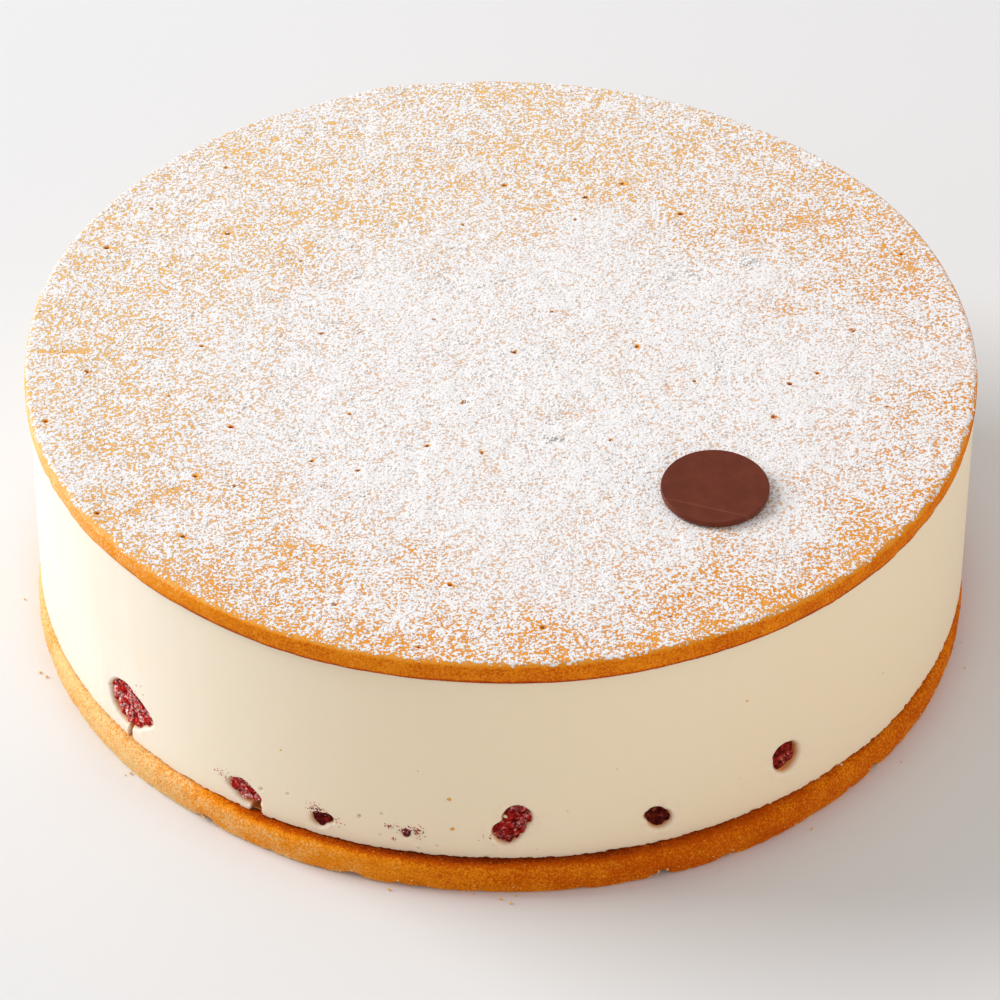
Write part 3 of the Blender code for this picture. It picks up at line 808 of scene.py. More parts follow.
set_cream, tree, shader = new_material(
    "cheese cream",
    Roughness=0.42,
    Specular_IOR_Level=0.3,
    Subsurface_Weight=0.25,
    Subsurface_Scale=4.0 * MM,
)
shader.inputs["Subsurface Radius"].default_value = (1.0, 0.65, 0.4)
place = in_mm(tree)
smears = cloud(tree, stretched(tree, place, (1.0, 1.0, 0.08)), 0.22, 2.0, 0.5)
drifts = cloud(tree, place, 0.03, 2.0, 0.5)
ivory = mix(tree, step(tree, smears, 0.35, 0.7), tone(245, 236, 220), tone(247, 239, 224))
# Painted shade: toward the right and the front the ivory turns warmer and darker, where less of the window's
# light falls.
toward_shaded_right = reach_along(tree, place, (0.0074, -0.0020, 0.0))
ivory = mix(tree, step(tree, toward_shaded_right, -0.95, 0.1), ivory, tone(244, 227, 196))
ivory = mix(tree, step(tree, drifts, 0.4, 0.7, 0.0, 0.3), ivory, tone(244, 228, 200))
grains = step(tree, cloud(tree, place, 0.9, 2.0, 0.6), 0.66, 0.74)
halo = step(tree, attribute(tree, "past_berry"), 4.5, 0.0)
blush = times(tree, halo, step(tree, cloud(tree, place, 0.35, 3.0, 0.6), 0.42, 0.68))
tinted = mix(tree, times(tree, blush, 0.12), ivory, tone(226, 160, 168))
tinted = mix(tree, times(tree, blush, grains, 0.45), tinted, tone(196, 92, 110))
# Painted shade in the hollows, with some juice stain: the cream turns amber with depth below the wall.
inside = step(tree, from_cream_axis(tree, place), CREAM_RADIUS - 0.05, CREAM_RADIUS - 1.5)
amber = mix(tree, inside, tinted, tone(208, 130, 58))
finish_with(tree, shader, amber, None, smears, 0.05 * MM)
cream = new_piece("cream_layer", points, faces, set_cream)
nearest = np.full(len(points), FAR_AWAY)
for bearing, height, _, _, corners in BERRIES:
    nearest = np.minimum(nearest, past_outline(points, bearing, height, corners)[0])
store(cream, "past_berry", np.clip(nearest, -2.0, 20.0))
on_torte(cream, "cheese_cream", "cheese_cream")

# %% [markdown]
# ## Raspberries
# A raspberry is a cluster of juicy drupelets. Pressed against the ring and frozen with the torte,
# it keeps its lobes but shows a flattened face, frosted where cream and ice cling between the
# drupelets. Each one is a fine ball drawn to its outline, dented between the drupelets.

# %% Drupelets
DRUPELET = 3.2
DRUPELET_RELIEF = 0.9
GOLDEN_ANGLE = math.radians(137.508)


def dent(places, points, relief):
    """How deep the surface lies between the drupelets whose middles are given."""
    nearest = np.full(len(points), np.inf)
    for place in places:
        nearest = np.minimum(nearest, np.linalg.norm(points - place, axis=1))
    return relief * np.minimum(1.0, (nearest / (0.6 * DRUPELET)) ** 2)


def golden_ball(reach, longest, depth):
    """Middles spread evenly over a ball, as seeds spread on a flower's head."""
    count = max(8, round(math.pi * (longest + depth) ** 2 / DRUPELET**2))
    steps = np.arange(count)
    height = 1.0 - 2.0 * (steps + 0.5) / count
    angle = (steps * GOLDEN_ANGLE + math.pi) % math.tau - math.pi
    across = reach(angle) * np.sqrt(1.0 - height**2)
    return at_height(across * np.cos(angle), across * np.sin(angle), depth * height)


def sunflower(longest):
    """The same over a flat disc, for the face that the ring pressed."""
    count = max(3, round(math.pi * longest**2 / DRUPELET**2))
    steps = np.arange(count)
    across = longest * np.sqrt((steps + 0.5) / count)
    angle = steps * GOLDEN_ANGLE
    return at_height(across * np.cos(angle), across * np.sin(angle))


print("drupelets on a face 14 mm across:", len(sunflower(7.0)))

# %% Berry shape
# FLUSH is how far a pressed face lies behind the wall. The lower FULLNESS is, the more a berry's
# sides stand upright.
FLUSH = 0.35
FULLNESS = 0.35


def berry_shape(number, bearing, height, depth, corners):
    """A lobed ball drawn to the outline, pressed flat at the wall and sunk into the cream."""
    reach = reach_of(corners)
    longest = float(max(reach(np.linspace(0.0, math.tau, 12, endpoint=False))))
    sides, rings = (176, 88) if longest > 7.0 else (112, 56)
    arc = np.linspace(0.03, math.pi - 0.03, rings)
    shape = [(math.sin(a) ** FULLNESS, -math.cos(a)) for a in arc]
    points, _, faces, index = turned(shape, sides)
    angle = np.arctan2(points[:, 1], points[:, 0])
    points[:, :2] *= reach(angle)[:, None]
    points[:, 2] *= depth
    inward = points / np.linalg.norm(points, axis=1)[:, None]
    points -= inward * dent(golden_ball(reach, longest, depth), points, DRUPELET_RELIEF)[:, None]
    flat = points * (1, 1, 0)
    pressed = -points[:, 0] ** 2 / (2 * CREAM_RADIUS) - FLUSH
    pressed -= dent(sunflower(longest), flat, DRUPELET_RELIEF)
    pressed += 0.22 * rough(flat, 2.2, 3, 70 + number)
    points[:, 2] = np.minimum(points[:, 2] - depth / 2, pressed)
    points += inward * (0.10 * rough(points, 1.1, 2, 90 + number))[:, None]
    points, faces = close_ends(points, faces, index)
    return to_wall(points, bearing, height), faces


print("points in the smallest berry:", len(berry_shape(4, *BERRIES[3][:4])[0]))


# %% Berry finish
def berry_material(name, deep, fresh, frost, frosting, shine):
    """Flesh from deep to fresh, darkened in the seams as painted shade, with frost in the seams. frosting is
    how much of the frost shows.
    """
    made, tree, shader = new_material(name, Roughness=shine, Specular_IOR_Level=0.06)
    shader.inputs["Subsurface Weight"].default_value = 0.12
    shader.inputs["Subsurface Scale"].default_value = 1.5 * MM
    shader.inputs["Subsurface Radius"].default_value = (1.0, 0.2, 0.15)
    place = in_mm(tree)
    wander = cloud(tree, place, 0.9, 3.0, 0.6)
    bent = add_node(tree, "ShaderNodeVectorMath", {0: place, 1: wander}, operation="ADD").outputs[0]
    crease = step(tree, cells(tree, bent, 0.36, "DISTANCE_TO_EDGE"), 0.10, 0.0)
    from_ring = maths(tree, "ABSOLUTE", plus(tree, cells(tree, bent, 0.36), -0.40))
    ring = step(tree, from_ring, 0.15, 0.03)
    icy = cloud(tree, place, 0.3, 2.0, 0.5)
    patches = step(tree, icy, 0.62 - 0.22 * frosting, 0.70 - 0.20 * frosting)
    sparkle = step(tree, cloud(tree, place, 1.2, 2.0, 0.65), 0.44, 0.62)
    flesh = mix(tree, step(tree, cloud(tree, place, 0.6, 3.0, 0.6), 0.36, 0.64), deep, fresh)
    # Painted shade: the creases between the drupelets are darkened toward almost black.
    flesh = mix(tree, times(tree, crease, 0.45), flesh, tone(60, 4, 2))
    on_ring = maths(tree, "MULTIPLY_ADD", ring, 0.65, 0.35)
    rime = times(tree, sparkle, on_ring, patches, frosting)
    colour = mix(tree, rime, flesh, frost)
    lobes = maths(tree, "MULTIPLY_ADD", crease, -1.2, wander)
    finish_with(tree, shader, colour, None, lobes, 0.3 * MM)
    return made


# Deep flesh, fresh flesh, frost, how much frost shows, roughness.
FLESH = {
    "frosted": ((164, 12, 8), (212, 44, 32), (255, 236, 232), 1.0, 0.5),
    "streaky": ((154, 10, 8), (206, 52, 42), (255, 228, 224), 1.0, 0.5),
    "dark": ((66, 0, 0), (118, 18, 12), (246, 202, 196), 0.5, 0.45),
    "lobed": ((108, 0, 0), (178, 34, 26), (246, 202, 196), 0.6, 0.45),
    "maroon": ((60, 2, 0), (112, 30, 16), (196, 124, 106), 0.5, 0.5),
    "brick": ((90, 4, 2), (172, 42, 28), (220, 146, 128), 0.5, 0.5),
}
flesh_of = {}
for kind, (deep, fresh, frost, frosting, shine) in FLESH.items():
    tones = (tone(*deep), tone(*fresh), tone(*frost))
    flesh_of[kind] = berry_material(f"raspberry {kind}", *tones, frosting, shine)
print("berry finishes:", list(flesh_of))

# %% Berries
# Each berry's finish, in the order of the outlines.
KINDS = ("frosted", "streaky", "dark", "dark", "lobed", "maroon", "brick")
KINDS += ("lobed", "maroon", "frosted", "streaky")
for number, (bearing, height, depth, corners, _) in enumerate(BERRIES, start=1):
    points, faces = berry_shape(number, bearing, height, depth, corners)
    berry = new_piece(f"berry_{number}", points, faces, flesh_of[KINDS[number - 1]])
    on_torte(berry, "raspberry", f"raspberry_{number}")

# %% [markdown]
# ## The top disc
# The top sponge carries pressed portion marks and the small holes of the docking roller that let
# steam out. Both are cut into a fine turned disc, whose upper side is gently uneven. A layer of
# sugar follows, so the mesh also carries its soft thickness.

# %% Bare share
# The share of the sponge that the sugar leaves bare, at places on the top in millimetres. The
# sieve was held over the middle, so the sugar thins outward, and most of all at the front rim.
# Each thin place is its middle, how far it spreads and how much more of the sponge it bares.
SIEVE_MIDDLE = (18.6, -18.0)
SIEVE_SPREAD = (108.0, 95.0)
THIN_PLACES = (
    (93.6, 65.0, 32.0, 0.12), (-116.4, -5.0, 26.0, 0.09), (18.6, 112.0, 40.0, 0.06),
    (58.6, -112.0, 20.0, 0.2), (-71.4, -105.0, 26.0, 0.05), (107.6, -70.0, 18.0, 0.14),
)
STREAK_ANGLE = math.radians(14.0)


def inside_rim(x, y):
    """How far inside the top disc's outline, and how much it faces the front, from -1 to 1."""
    angle = np.arctan2(y - TOP_AXIS[1], x - TOP_AXIS[0])
    return top_outline(angle) - np.hypot(x - TOP_AXIS[0], y - TOP_AXIS[1]), -np.sin(angle)


def bare_share(x, y):
    """How much of the sponge shows, from almost 0 to almost 1."""
    flat = at_height(x, y)
    away_x = (x - SIEVE_MIDDLE[0]) / SIEVE_SPREAD[0]
    away_y = (y - SIEVE_MIDDLE[1]) / SIEVE_SPREAD[1]
    away = np.hypot(away_x, away_y)
    bare = 0.06 + 0.12 * smooth(away, 0.55, 1.2)
    for place_x, place_y, spread, more in THIN_PLACES:
        bare += more * np.exp(-(((x - place_x) ** 2 + (y - place_y) ** 2) / spread**2))
    inside, front = inside_rim(x, y)
    bare += 0.24 * smooth(inside, 17.0, 3.0) * smooth(front, 0.35, 0.8)
    along = flat @ (math.cos(STREAK_ANGLE), math.sin(STREAK_ANGLE), 0.0) * 0.4
    across = flat @ (-math.sin(STREAK_ANGLE), math.cos(STREAK_ANGLE), 0.0)
    streaks = rough(at_height(along, across), 8.0, 2, 130)
    bare *= np.exp(0.32 * rough(flat, 20.0, 2, 120) + 0.32 * streaks)
    edge = 0.2 + 0.5 * smooth(front, 0.0, 0.8) + 0.6 * rough(flat, 4.0, 2, 140)
    bare = np.maximum(bare, smooth(inside, edge + 0.7, edge - 0.4))
    return np.clip(bare, 0.004, 0.996)


middle_and_rim = bare_share(np.array([20.0, -10.0]), np.array([6.0, -131.0]))
print("bare share in the middle and at the front rim:", middle_and_rim)

# %% Portion marks
# The divider pressed ten short rays into the disc. Folding the angle into one portion gives the
# distance to the nearest ray. A swept mark is its bearing, how bare it is, and where it starts.
PORTIONS = 10
DIVIDER_CENTRE = (-5.8, 3.1)
FIRST_MARK = 1.9
MARK_START = 34.0
SWEPT_MARKS = ((181.9, 1.0, 92.0), (217.9, 0.7, 104.0), (73.9, 0.45, 100.0))
SWEPT_MARKS += ((253.9, 0.35, 108.0), (289.9, 0.3, 110.0))


def mark_place(points):
    """Each point's bearing from the first mark, and its distance from the divider's centre."""
    flat = points[:, :2] - DIVIDER_CENTRE
    bearing = np.arctan2(flat[:, 1], flat[:, 0]) - math.radians(FIRST_MARK)
    return bearing, np.hypot(flat[:, 0], flat[:, 1])


def mark_distance(points):
    """How far each point is from the nearest mark's middle line."""
    bearing, reach = mark_place(points)
    portion = math.tau / PORTIONS
    folded = (bearing + portion / 2) % portion - portion / 2
    return np.where(reach > MARK_START, abs(np.sin(folded)) * reach, FAR_AWAY)


def mark_strength(points):
    """How bare the marks are: sugar filled most of them, and five still show near the rim."""
    bearing, reach = mark_place(points)
    strength = np.full(len(points), 0.03)
    for mark, share, start in SWEPT_MARKS:
        on_mark = abs(degrees_past(bearing, mark - FIRST_MARK)) < 4.0
        swept = share * on_mark * smooth(reach, start - 8.0, start + 4.0)
        strength = np.maximum(strength, swept)
    dabs = rough(points * (1, 1, 0), 4.5, 2, 300)
    return strength * np.clip(0.75 + 0.9 * dabs, 0.0, 1.3)


print("portion marks:", PORTIONS, "of which still show:", len(SWEPT_MARKS))

# %% Docking holes
# The middle of each hole on the top. The roller's pins were blunt, so the sizes vary.
DOCKING_HOLES = (
    (-82.4, 89), (-80.4, 56), (-58.4, 43), (-103.4, 68), (-51.4, 8), (-85.4, 2), (-117.4, -10),
    (-93.4, -21), (-127.4, -33), (-75.4, -35), (-42.4, -29), (-84.4, -57), (-73.4, -61), (-52.4, -50),
    (-39.4, -54), (-20.4, -43), (-5.4, -46), (-10.4, -23), (-19.4, 15), (-11.4, 61), (-110.4, -73),
    (-86.4, -83), (-115.4, 49), (0.6, 81), (21.6, 64), (24.6, 75), (35.6, 82), (52.6, 67), (116.6, 48),
    (14.6, 19), (3.6, 0), (38.6, 3), (100.6, 11), (89.6, -9), (54.6, -13), (81.6, -14), (108.6, -24),
    (76.6, -29), (30.6, -40), (-44.4, -111), (-13.4, -103), (-21.4, -128), (45.6, -115), (11.6, -120),
)
draw = np.random.default_rng(12)
HOLE_SIZES = draw.uniform(0.4, 0.72, len(DOCKING_HOLES))
HOLE_WIDENING = 1.25


def hole_share(points):
    """1 in the middle of a docking hole, 0 at its edge and less outside it."""
    share = np.full(len(points), -9.0)
    for (x, y), size in zip(DOCKING_HOLES, HOLE_SIZES):
        away = np.hypot((points[:, 0] - x) / HOLE_WIDENING, points[:, 1] - y)
        share = np.maximum(share, 1.0 - away / size)
    return share


print("docking holes:", len(DOCKING_HOLES))

# %% Top profile
TOP_SIDES = 620
TOP_EDGE = 1.6


def top_profile():
    """Radius and height, from under the edge to the middle of the upper side."""
    rows = [(TOP_RADIUS - inset, TOP_LOW) for inset in (8.0, 2.0, 0.9)]
    rows += [(TOP_RADIUS - 0.5, TOP_LOW + 0.25), (TOP_RADIUS - 0.3, TOP_LOW + 0.7)]
    rows += [(TOP_RADIUS - 0.1, TOP_LOW + 1.6), (TOP_RADIUS, TOP_LOW + 2.6), (TOP_RADIUS, TOP_LOW + 3.9)]
    for row in range(9):
        angle = math.pi / 2 * row / 8
        inset = TOP_EDGE * (1.0 - math.cos(angle))
        rows.append((TOP_RADIUS - inset, TOP_HIGH - TOP_EDGE * (1.0 - math.sin(angle))))
    return rows + [(radius, TOP_HIGH) for radius in np.arange(TOP_RADIUS - TOP_EDGE - 1.0, 2.0, -1.4)]


print("rows in the top disc's profile:", len(top_profile()))

# %% Top shape
SUGAR_THICK = 0.45
HOLE_DEPTH = 0.7
MARK_DEPTH = 0.5
HOLE_CUTS = 4


def near_hole(points):
    """Which points of the upper side lie near a docking hole."""
    return (hole_share(points) > -2.2) & (points[:, 2] > TOP_HIGH - 0.01)


points, outward, faces, index = turned(top_profile(), TOP_SIDES)
points, faces = close_ends(points, faces, index)
outward = np.concatenate((outward, ((0.0, 0.0, -1.0), (0.0, 0.0, 1.0))))
angle = np.arctan2(points[:, 1], points[:, 0])
edge_share = unit((np.hypot(points[:, 0], points[:, 1]) - 118.0) / 12.0)
points[:, 0] += np.cos(angle) * (top_outline(angle) - TOP_RADIUS) * edge_share
points[:, 1] += np.sin(angle) * (top_outline(angle) - TOP_RADIUS) * edge_share
points[:, :2] += TOP_AXIS
side_share = (points[:, 2] < TOP_LOW + 2.0) & (points[:, 2] > TOP_LOW + 0.1)
bitten = side_share * unit(rough(points * (1, 1, 0.4), 5.0, 3, 180)) * 0.45
points -= outward * bitten[:, None]
points, faces = refine(points, faces, near_hole, HOLE_CUTS)
upper = unit((points[:, 2] - TOP_HIGH + 0.8) / 0.8)
bare_here = bare_share(points[:, 0], points[:, 1])
relief = rough(points, 16.0, 2, 150) * 0.12 + rough(points, 3.0, 2, 160) * 0.06
relief += SUGAR_THICK * (1.0 - bare_here) * (0.6 + 0.5 * rough(points, 3.4, 2, 170)) - 0.15
relief -= HOLE_DEPTH * unit(hole_share(points) * 2.0) ** 0.7
marked = unit(1.0 - mark_distance(points) / 0.9) * unit(mark_strength(points))
relief -= MARK_DEPTH * marked
points[:, 2] += relief * upper
print(f"relief of the top disc from {relief.min():.2f} to {relief.max():.2f} mm")

# %% [markdown]
# ## Powdered sugar, close up
# Sifted sugar lies in soft clumps well under a millimetre across, and the sponge shows through
# in short golden gaps. A group turns the stored cover into a mask: noise decides where the gaps
# open, and the cover decides how many do. The same mask raises the sugar over the sponge.

# %% Sugar group
# The noise is bell-shaped about a half, so the level that leaves a given share bare follows from
# the share's odds. Level is how far the sugar stands above the sponge.
NOISE_SPREAD = 0.053
NOISE_MIDDLE = 0.574
tree, given, result = new_group(
    "powdered sugar",
    (("Place", "NodeSocketVector"), ("Odds", "NodeSocketFloat")),
    (("Mask", "NodeSocketFloat"), ("Level", "NodeSocketFloat"), ("Height", "NodeSocketFloat")),
)
wires = {"Vector": given["Place"], "Rotation": (0, 0, -STREAK_ANGLE), "Scale": (0.9, 1.1, 1.0)}
turned_place = add_node(tree, "ShaderNodeMapping", wires).outputs[0]
worms = cloud(tree, turned_place, 1.1, 2.0, 0.55, 0.15)
drifts = cloud(tree, turned_place, 0.2, 2.0, 0.5)
dust = cloud(tree, given["Place"], 2.7, 1.0, 0.5)
level = maths(tree, "MULTIPLY_ADD", drifts, 0.24, worms)
level = maths(tree, "MULTIPLY_ADD", dust, 0.25, level)
clumps = cells(tree, given["Place"], 1.25)
level = maths(tree, "MULTIPLY_ADD", clumps, -0.36, level)
needed = maths(tree, "MULTIPLY_ADD", given["Odds"], NOISE_SPREAD, NOISE_MIDDLE)
level = maths(tree, "SUBTRACT", level, needed)
tree.links.new(level, result.inputs["Level"])
tree.links.new(step(tree, level, -0.034, 0.030), result.inputs["Mask"])
wires = {"Value": level, "From Min": -0.04, "From Max": 0.16}
sugar_height = add_node(tree, "ShaderNodeMapRange", wires).outputs["Result"]
round_height = maths(tree, "MULTIPLY_ADD", clumps, -0.6, sugar_height)
tree.links.new(round_height, result.inputs["Height"])
print("group powdered sugar has", len(tree.nodes), "nodes")

# %% Top finish
sugared, tree, shader = new_material("sugared sponge", Roughness=0.9, Specular_IOR_Level=0.08)
place = in_mm(tree)
height = part_of(tree, place, "Z")
# Painted light and shade: the sponge is paler toward the window at the back left and deeper toward the front
# right, over its own baked tone.
toward_shade = reach_along(tree, place, (0.0044, -0.0050, 0.0))
bake_and_shade = step(tree, toward_shade, -0.8, 0.9, -0.45, 0.12)
# The rim and the underside are browner: browned crust, with painted shadow under the edge; both are weaker on
# the lit left.
edge_bake = step(tree, height, TOP_HIGH - 0.1, TOP_HIGH - 1.6, 0.0, 0.5)
underside_browning_and_shadow = step(tree, height, TOP_LOW + 1.6, TOP_LOW + 0.2, 0.0, 0.9)
browning_and_shade = step(tree, part_of(tree, place, "X"), -140.0, -72.0, 0.1, 1.0)
bake_and_shade = maths(tree, "MULTIPLY_ADD", plus(tree, underside_browning_and_shadow, edge_bake), browning_and_shade, bake_and_shade)
# Painted shade in the docking holes: they are darkened toward brown.
bake_and_shade = maths(tree, "MULTIPLY_ADD", attribute(tree, "hole"), 1.2, bake_and_shade)
crumb = use_group(tree, "sponge crumb", {"Place": place, "Bake": bake_and_shade})
sugar = use_group(tree, "powdered sugar", {"Place": place, "Odds": attribute(tree, "odds")})
lit = step(tree, cloud(tree, place, 1.6, 3.0, 0.6), 0.3, 0.7)
white = mix(tree, lit, tone(231, 228, 226), tone(249, 248, 246))
# The gaps' gold also deepens toward the front right: painted shade over the sponge's own gold.
honey = mix(tree, step(tree, toward_shade, -0.8, 0.5), tone(230, 178, 90), tone(224, 150, 50))
upper_side = step(tree, height, TOP_HIGH - 1.2, TOP_HIGH - 0.5, 0.0, 0.6)
honey = mix(tree, upper_side, crumb["Colour"], honey)
shaded = mix(tree, step(tree, sugar["Level"], -0.09, -0.01, 0.0, 0.65), honey, tone(176, 112, 62))
veil = step(tree, attribute(tree, "odds"), -2.6, -1.3, 0.62, 0.0)
shaded = mix(tree, veil, shaded, tone(224, 202, 184))
# Painted shade: the docking holes are darkened to a red brown.
shaded = mix(tree, step(tree, attribute(tree, "hole"), 0.4, 1.0), shaded, tone(160, 62, 20))
colour = mix(tree, sugar["Mask"], shaded, white)
raised = maths(tree, "MULTIPLY_ADD", crumb["Height"], 0.12, sugar["Height"])
finish_with(tree, shader, colour, None, raised, 0.12 * MM)
print("the sugared finish has", len(tree.nodes), "nodes")

# %% The top disc
# The odds say how much of the sponge shows. Marks, holes and the disc's side raise them.
top = new_piece("top_disc", points, faces, sugared)
odds = np.log(bare_here / (1.0 - bare_here))
odds += 5.0 * unit(1.0 - mark_distance(points) / 1.1) * mark_strength(points)
odds += 5.0 * unit(hole_share(points) + 0.7)
odds += 9.0 * unit((TOP_HIGH - 0.9 - points[:, 2]) / 0.8) * (hole_share(points) < -0.5)
store(top, "odds", odds)
store(top, "hole", unit(hole_share(points) * 2.0 + 0.3))
on_torte(top, "sugared_sponge", "top_sponge")

# %% [markdown]
# ## Clumps of sugar
# Bump alone can't throw the small shadows of real clumps or break the outline of the rim. Real
# grains are scattered where the cover is thick: each is a tiny uneven stone, and all stones of
# one kind are joined in one mesh, made in one go with numpy.

# %% Stones
def stone_template(level):
    """Points and faces of a ball with 20 or 80 triangles and a radius of 1."""
    bm = bmesh.new()
    bmesh.ops.create_icosphere(bm, subdivisions=level, radius=1.0)
    points = np.array([vert.co for vert in bm.verts])
    faces = np.array([[vert.index for vert in face.verts] for face in bm.faces])
    bm.free()
    return points, faces


def stones(places, sizes, flatness, level, seed):
    """Joined stones at the places, each with its own size, turn and unevenness."""
    draw = np.random.default_rng(seed)
    ball, ball_faces = stone_template(level)
    count = len(places)
    shape = ball[None] * (1.0 + draw.uniform(-0.28, 0.28, (count, len(ball), 1)))
    shape = shape * draw.uniform(0.7, 1.3, (count, 1, 3))
    turn = draw.uniform(0.0, math.tau, count)
    spin_x = shape[:, :, 0] * np.cos(turn)[:, None] - shape[:, :, 1] * np.sin(turn)[:, None]
    spin_y = shape[:, :, 0] * np.sin(turn)[:, None] + shape[:, :, 1] * np.cos(turn)[:, None]
    shape = np.stack((spin_x, spin_y, shape[:, :, 2] * flatness), axis=-1)
    points = places[:, None] + shape * np.asarray(sizes)[:, None, None]
    faces = ball_faces[None] + (np.arange(count) * len(ball))[:, None, None]
    return points.reshape(-1, 3), faces.reshape(-1, 3).tolist()


print("a fine stone has", len(stone_template(1)[1]), "triangles, a larger one", len(stone_template(2)[1]))


# %% Places for grains
def top_height(x, y):
    """Height of the sugared upper side, falling away over the rounded rim."""
    rim, _ = inside_rim(x, y)
    over = np.clip(TOP_EDGE - rim, 0.0, TOP_EDGE)
    return TOP_HIGH - TOP_EDGE + np.sqrt(np.maximum(TOP_EDGE**2 - over**2, 0.0))


def scatter(count, seed, wanted):
    """Places on the top, kept with the chance that wanted gives there."""
    draw = np.random.default_rng(seed)
    radius = (TOP_RADIUS + 0.5) * np.sqrt(draw.uniform(0.0, 1.0, count))
    angle = draw.uniform(0.0, math.tau, count)
    x = TOP_AXIS[0] + radius * np.cos(angle)
    y = TOP_AXIS[1] + radius * np.sin(angle)
    keep = draw.uniform(0.0, 1.0, count) < wanted(x, y)
    return x[keep], y[keep], draw


MEDALLION_PLACE = (59.0, -63.5)
MEDALLION_TILT = math.radians(3.3)
MEDALLION_RADIUS = 15.0


def grain_chance(x, y):
    """How likely a grain stays: never under the plaque, and seldom where the sponge is bare."""
    clear = np.hypot(x - MEDALLION_PLACE[0], y - MEDALLION_PLACE[1]) > MEDALLION_RADIUS + 0.6
    return clear * (1.0 - bare_share(x, y)) ** 1.5 * (rough(at_height(x, y), 5.0, 2, 200) > -0.35)


heights = top_height(np.array([0.0, 135.0]), np.zeros(2))
print("the top's height in the middle and near the rim:", heights.round(2))

# %% Grains of sugar
GRAIN_TRIES = 15000
powder, tree, shader = new_material("powdered sugar", Roughness=0.9, Specular_IOR_Level=0.2)
place = in_mm(tree)
lit = step(tree, cloud(tree, place, 1.1, 2.0, 0.6), 0.3, 0.7)
white = mix(tree, lit, tone(234, 231, 229), tone(251, 250, 248))
finish_with(tree, shader, white, None, cloud(tree, place, 4.0, 2.0, 0.6), 0.1 * MM)

x, y, draw = scatter(GRAIN_TRIES, 31, grain_chance)
sizes = draw.uniform(0.18, 0.42, len(x))
lift = SUGAR_THICK * (1.0 - bare_share(x, y)) * 0.6 - 0.12
points, faces = stones(at_height(x, y, top_height(x, y) + lift), sizes, 0.75, 1, 32)
grains = new_piece("sugar_grains", points, faces, powder)
on_torte(grains, "sugared_sponge")

# %% Larger clumps and heaps
# The sieve also drops soft lumps, and two small heaps stand near the middle and the back.
# Each heap is the place of its middle and how far it spreads.
LUMP_TRIES = 2600
HEAPS = ((71.7, 43.6, 3.2), (15.1, -38.6, 2.6))
HEAP_STONES = 40


def lump_chance(x, y):
    """Lumps fall where grains do, but only in loose drifts."""
    return grain_chance(x, y) * (rough(at_height(x, y), 9.0, 2, 210) > 0.1)


x, y, draw = scatter(LUMP_TRIES, 37, lump_chance)
sizes = draw.uniform(0.26, 0.52, len(x))
places = [at_height(x, y, top_height(x, y) + 0.15)]
for heap_x, heap_y, spread in HEAPS:
    off = draw.normal(0.0, spread / 2, (HEAP_STONES, 2))
    high = TOP_HIGH + 0.15 + 0.3 * np.exp(-((off / spread) ** 2).sum(axis=1) * 2.0)
    places.append(at_height(heap_x + off[:, 0], heap_y + off[:, 1], high))
    sizes = np.concatenate((sizes, draw.uniform(0.25, 0.55, HEAP_STONES)))
points, faces = stones(np.concatenate(places), sizes, 0.6, 2, 38)
lumps = new_piece("sugar_lumps", points, faces, powder)
on_torte(lumps, "sugared_sponge")

# %% [markdown]
# ## Small things on the wall and at the foot
# Bits of lemon zest and of raspberry lie where the cream met the ring, a few scraps of cream hang
# under the top disc, and cutting left pale crumbs along the foot. Each kind is one mesh of stones,
# pressed a little into what it lies on.

# %% Stones on the wall
def on_wall(bearing, height, out=0.0):
    """A place on the cream's wall, that far out of it."""
    angle = np.radians(bearing)
    reach = CREAM_RADIUS + out
    x = CREAM_AXIS[0] + reach * np.cos(angle)
    return at_height(x, CREAM_AXIS[1] + reach * np.sin(angle), height)


def stone_piece(name, places, sizes, flatness, material, seed, slot):
    """One mesh of larger stones, far from any berry as the cream's finish sees it."""
    points, faces = stones(places, sizes, flatness, 2, seed)
    piece = new_piece(name, points, faces, material)
    store(piece, "past_berry", np.full(len(points), 20.0))
    on_torte(piece, slot)


# %% Lemon zest
# Bearing, height, size.
ZEST = (
    (-95.9, 31.4, 0.62), (-95.5, 20.5, 0.62), (-76.5, 40.1, 0.35), (-60.4, 52.6, 0.35),
    (-116.3, 37.0, 0.4), (-99.5, 40.5, 0.25), (-38.0, 33.0, 0.3), (40.0, 28.0, 0.5),
    (88.0, 45.0, 0.4), (140.0, 22.0, 0.6),
)
bearing, height, size = np.array(ZEST).T
zest_skin, _, _ = new_material("lemon zest", Base_Color=tone(224, 160, 48), Roughness=0.5)
stone_piece("zest", on_wall(bearing, height, -0.15), size, 0.7, zest_skin, 41, "cheese_cream")

# %% Berry flecks
# Bearing, height, spread along and up the wall, number.
FLECKS = (
    (-102.8, 18.8, 0.8, 0.6, 36), (-99.6, 17.9, 0.9, 1.0, 70), (-101.0, 18.2, 1.6, 0.8, 40),
    (-101.9, 19.1, 0.3, 0.1, 12), (-102.4, 14.3, 0.4, 0.5, 16), (-91.6, 17.0, 1.6, 1.4, 12),
    (-124.3, 19.4, 1.8, 0.9, 36), (-111.9, 19.6, 1.9, 0.9, 90), (-109.2, 16.0, 0.8, 1.0, 20),
    (-139.0, 31.0, 2.0, 1.4, 4), (19.0, 25.0, 2.4, 1.4, 30), (113.5, 27.5, 2.6, 1.4, 40),
)
draw = np.random.default_rng(43)
spots = []
for bearing, height, along, up, count in FLECKS:
    bearings = bearing + np.degrees(draw.normal(0.0, along, count) / CREAM_RADIUS)
    spots.append(on_wall(bearings, draw.normal(height, up, count), -0.02))
spots = np.concatenate(spots)
sizes = draw.uniform(0.07, 0.24, len(spots)) ** 1.3 * 1.4
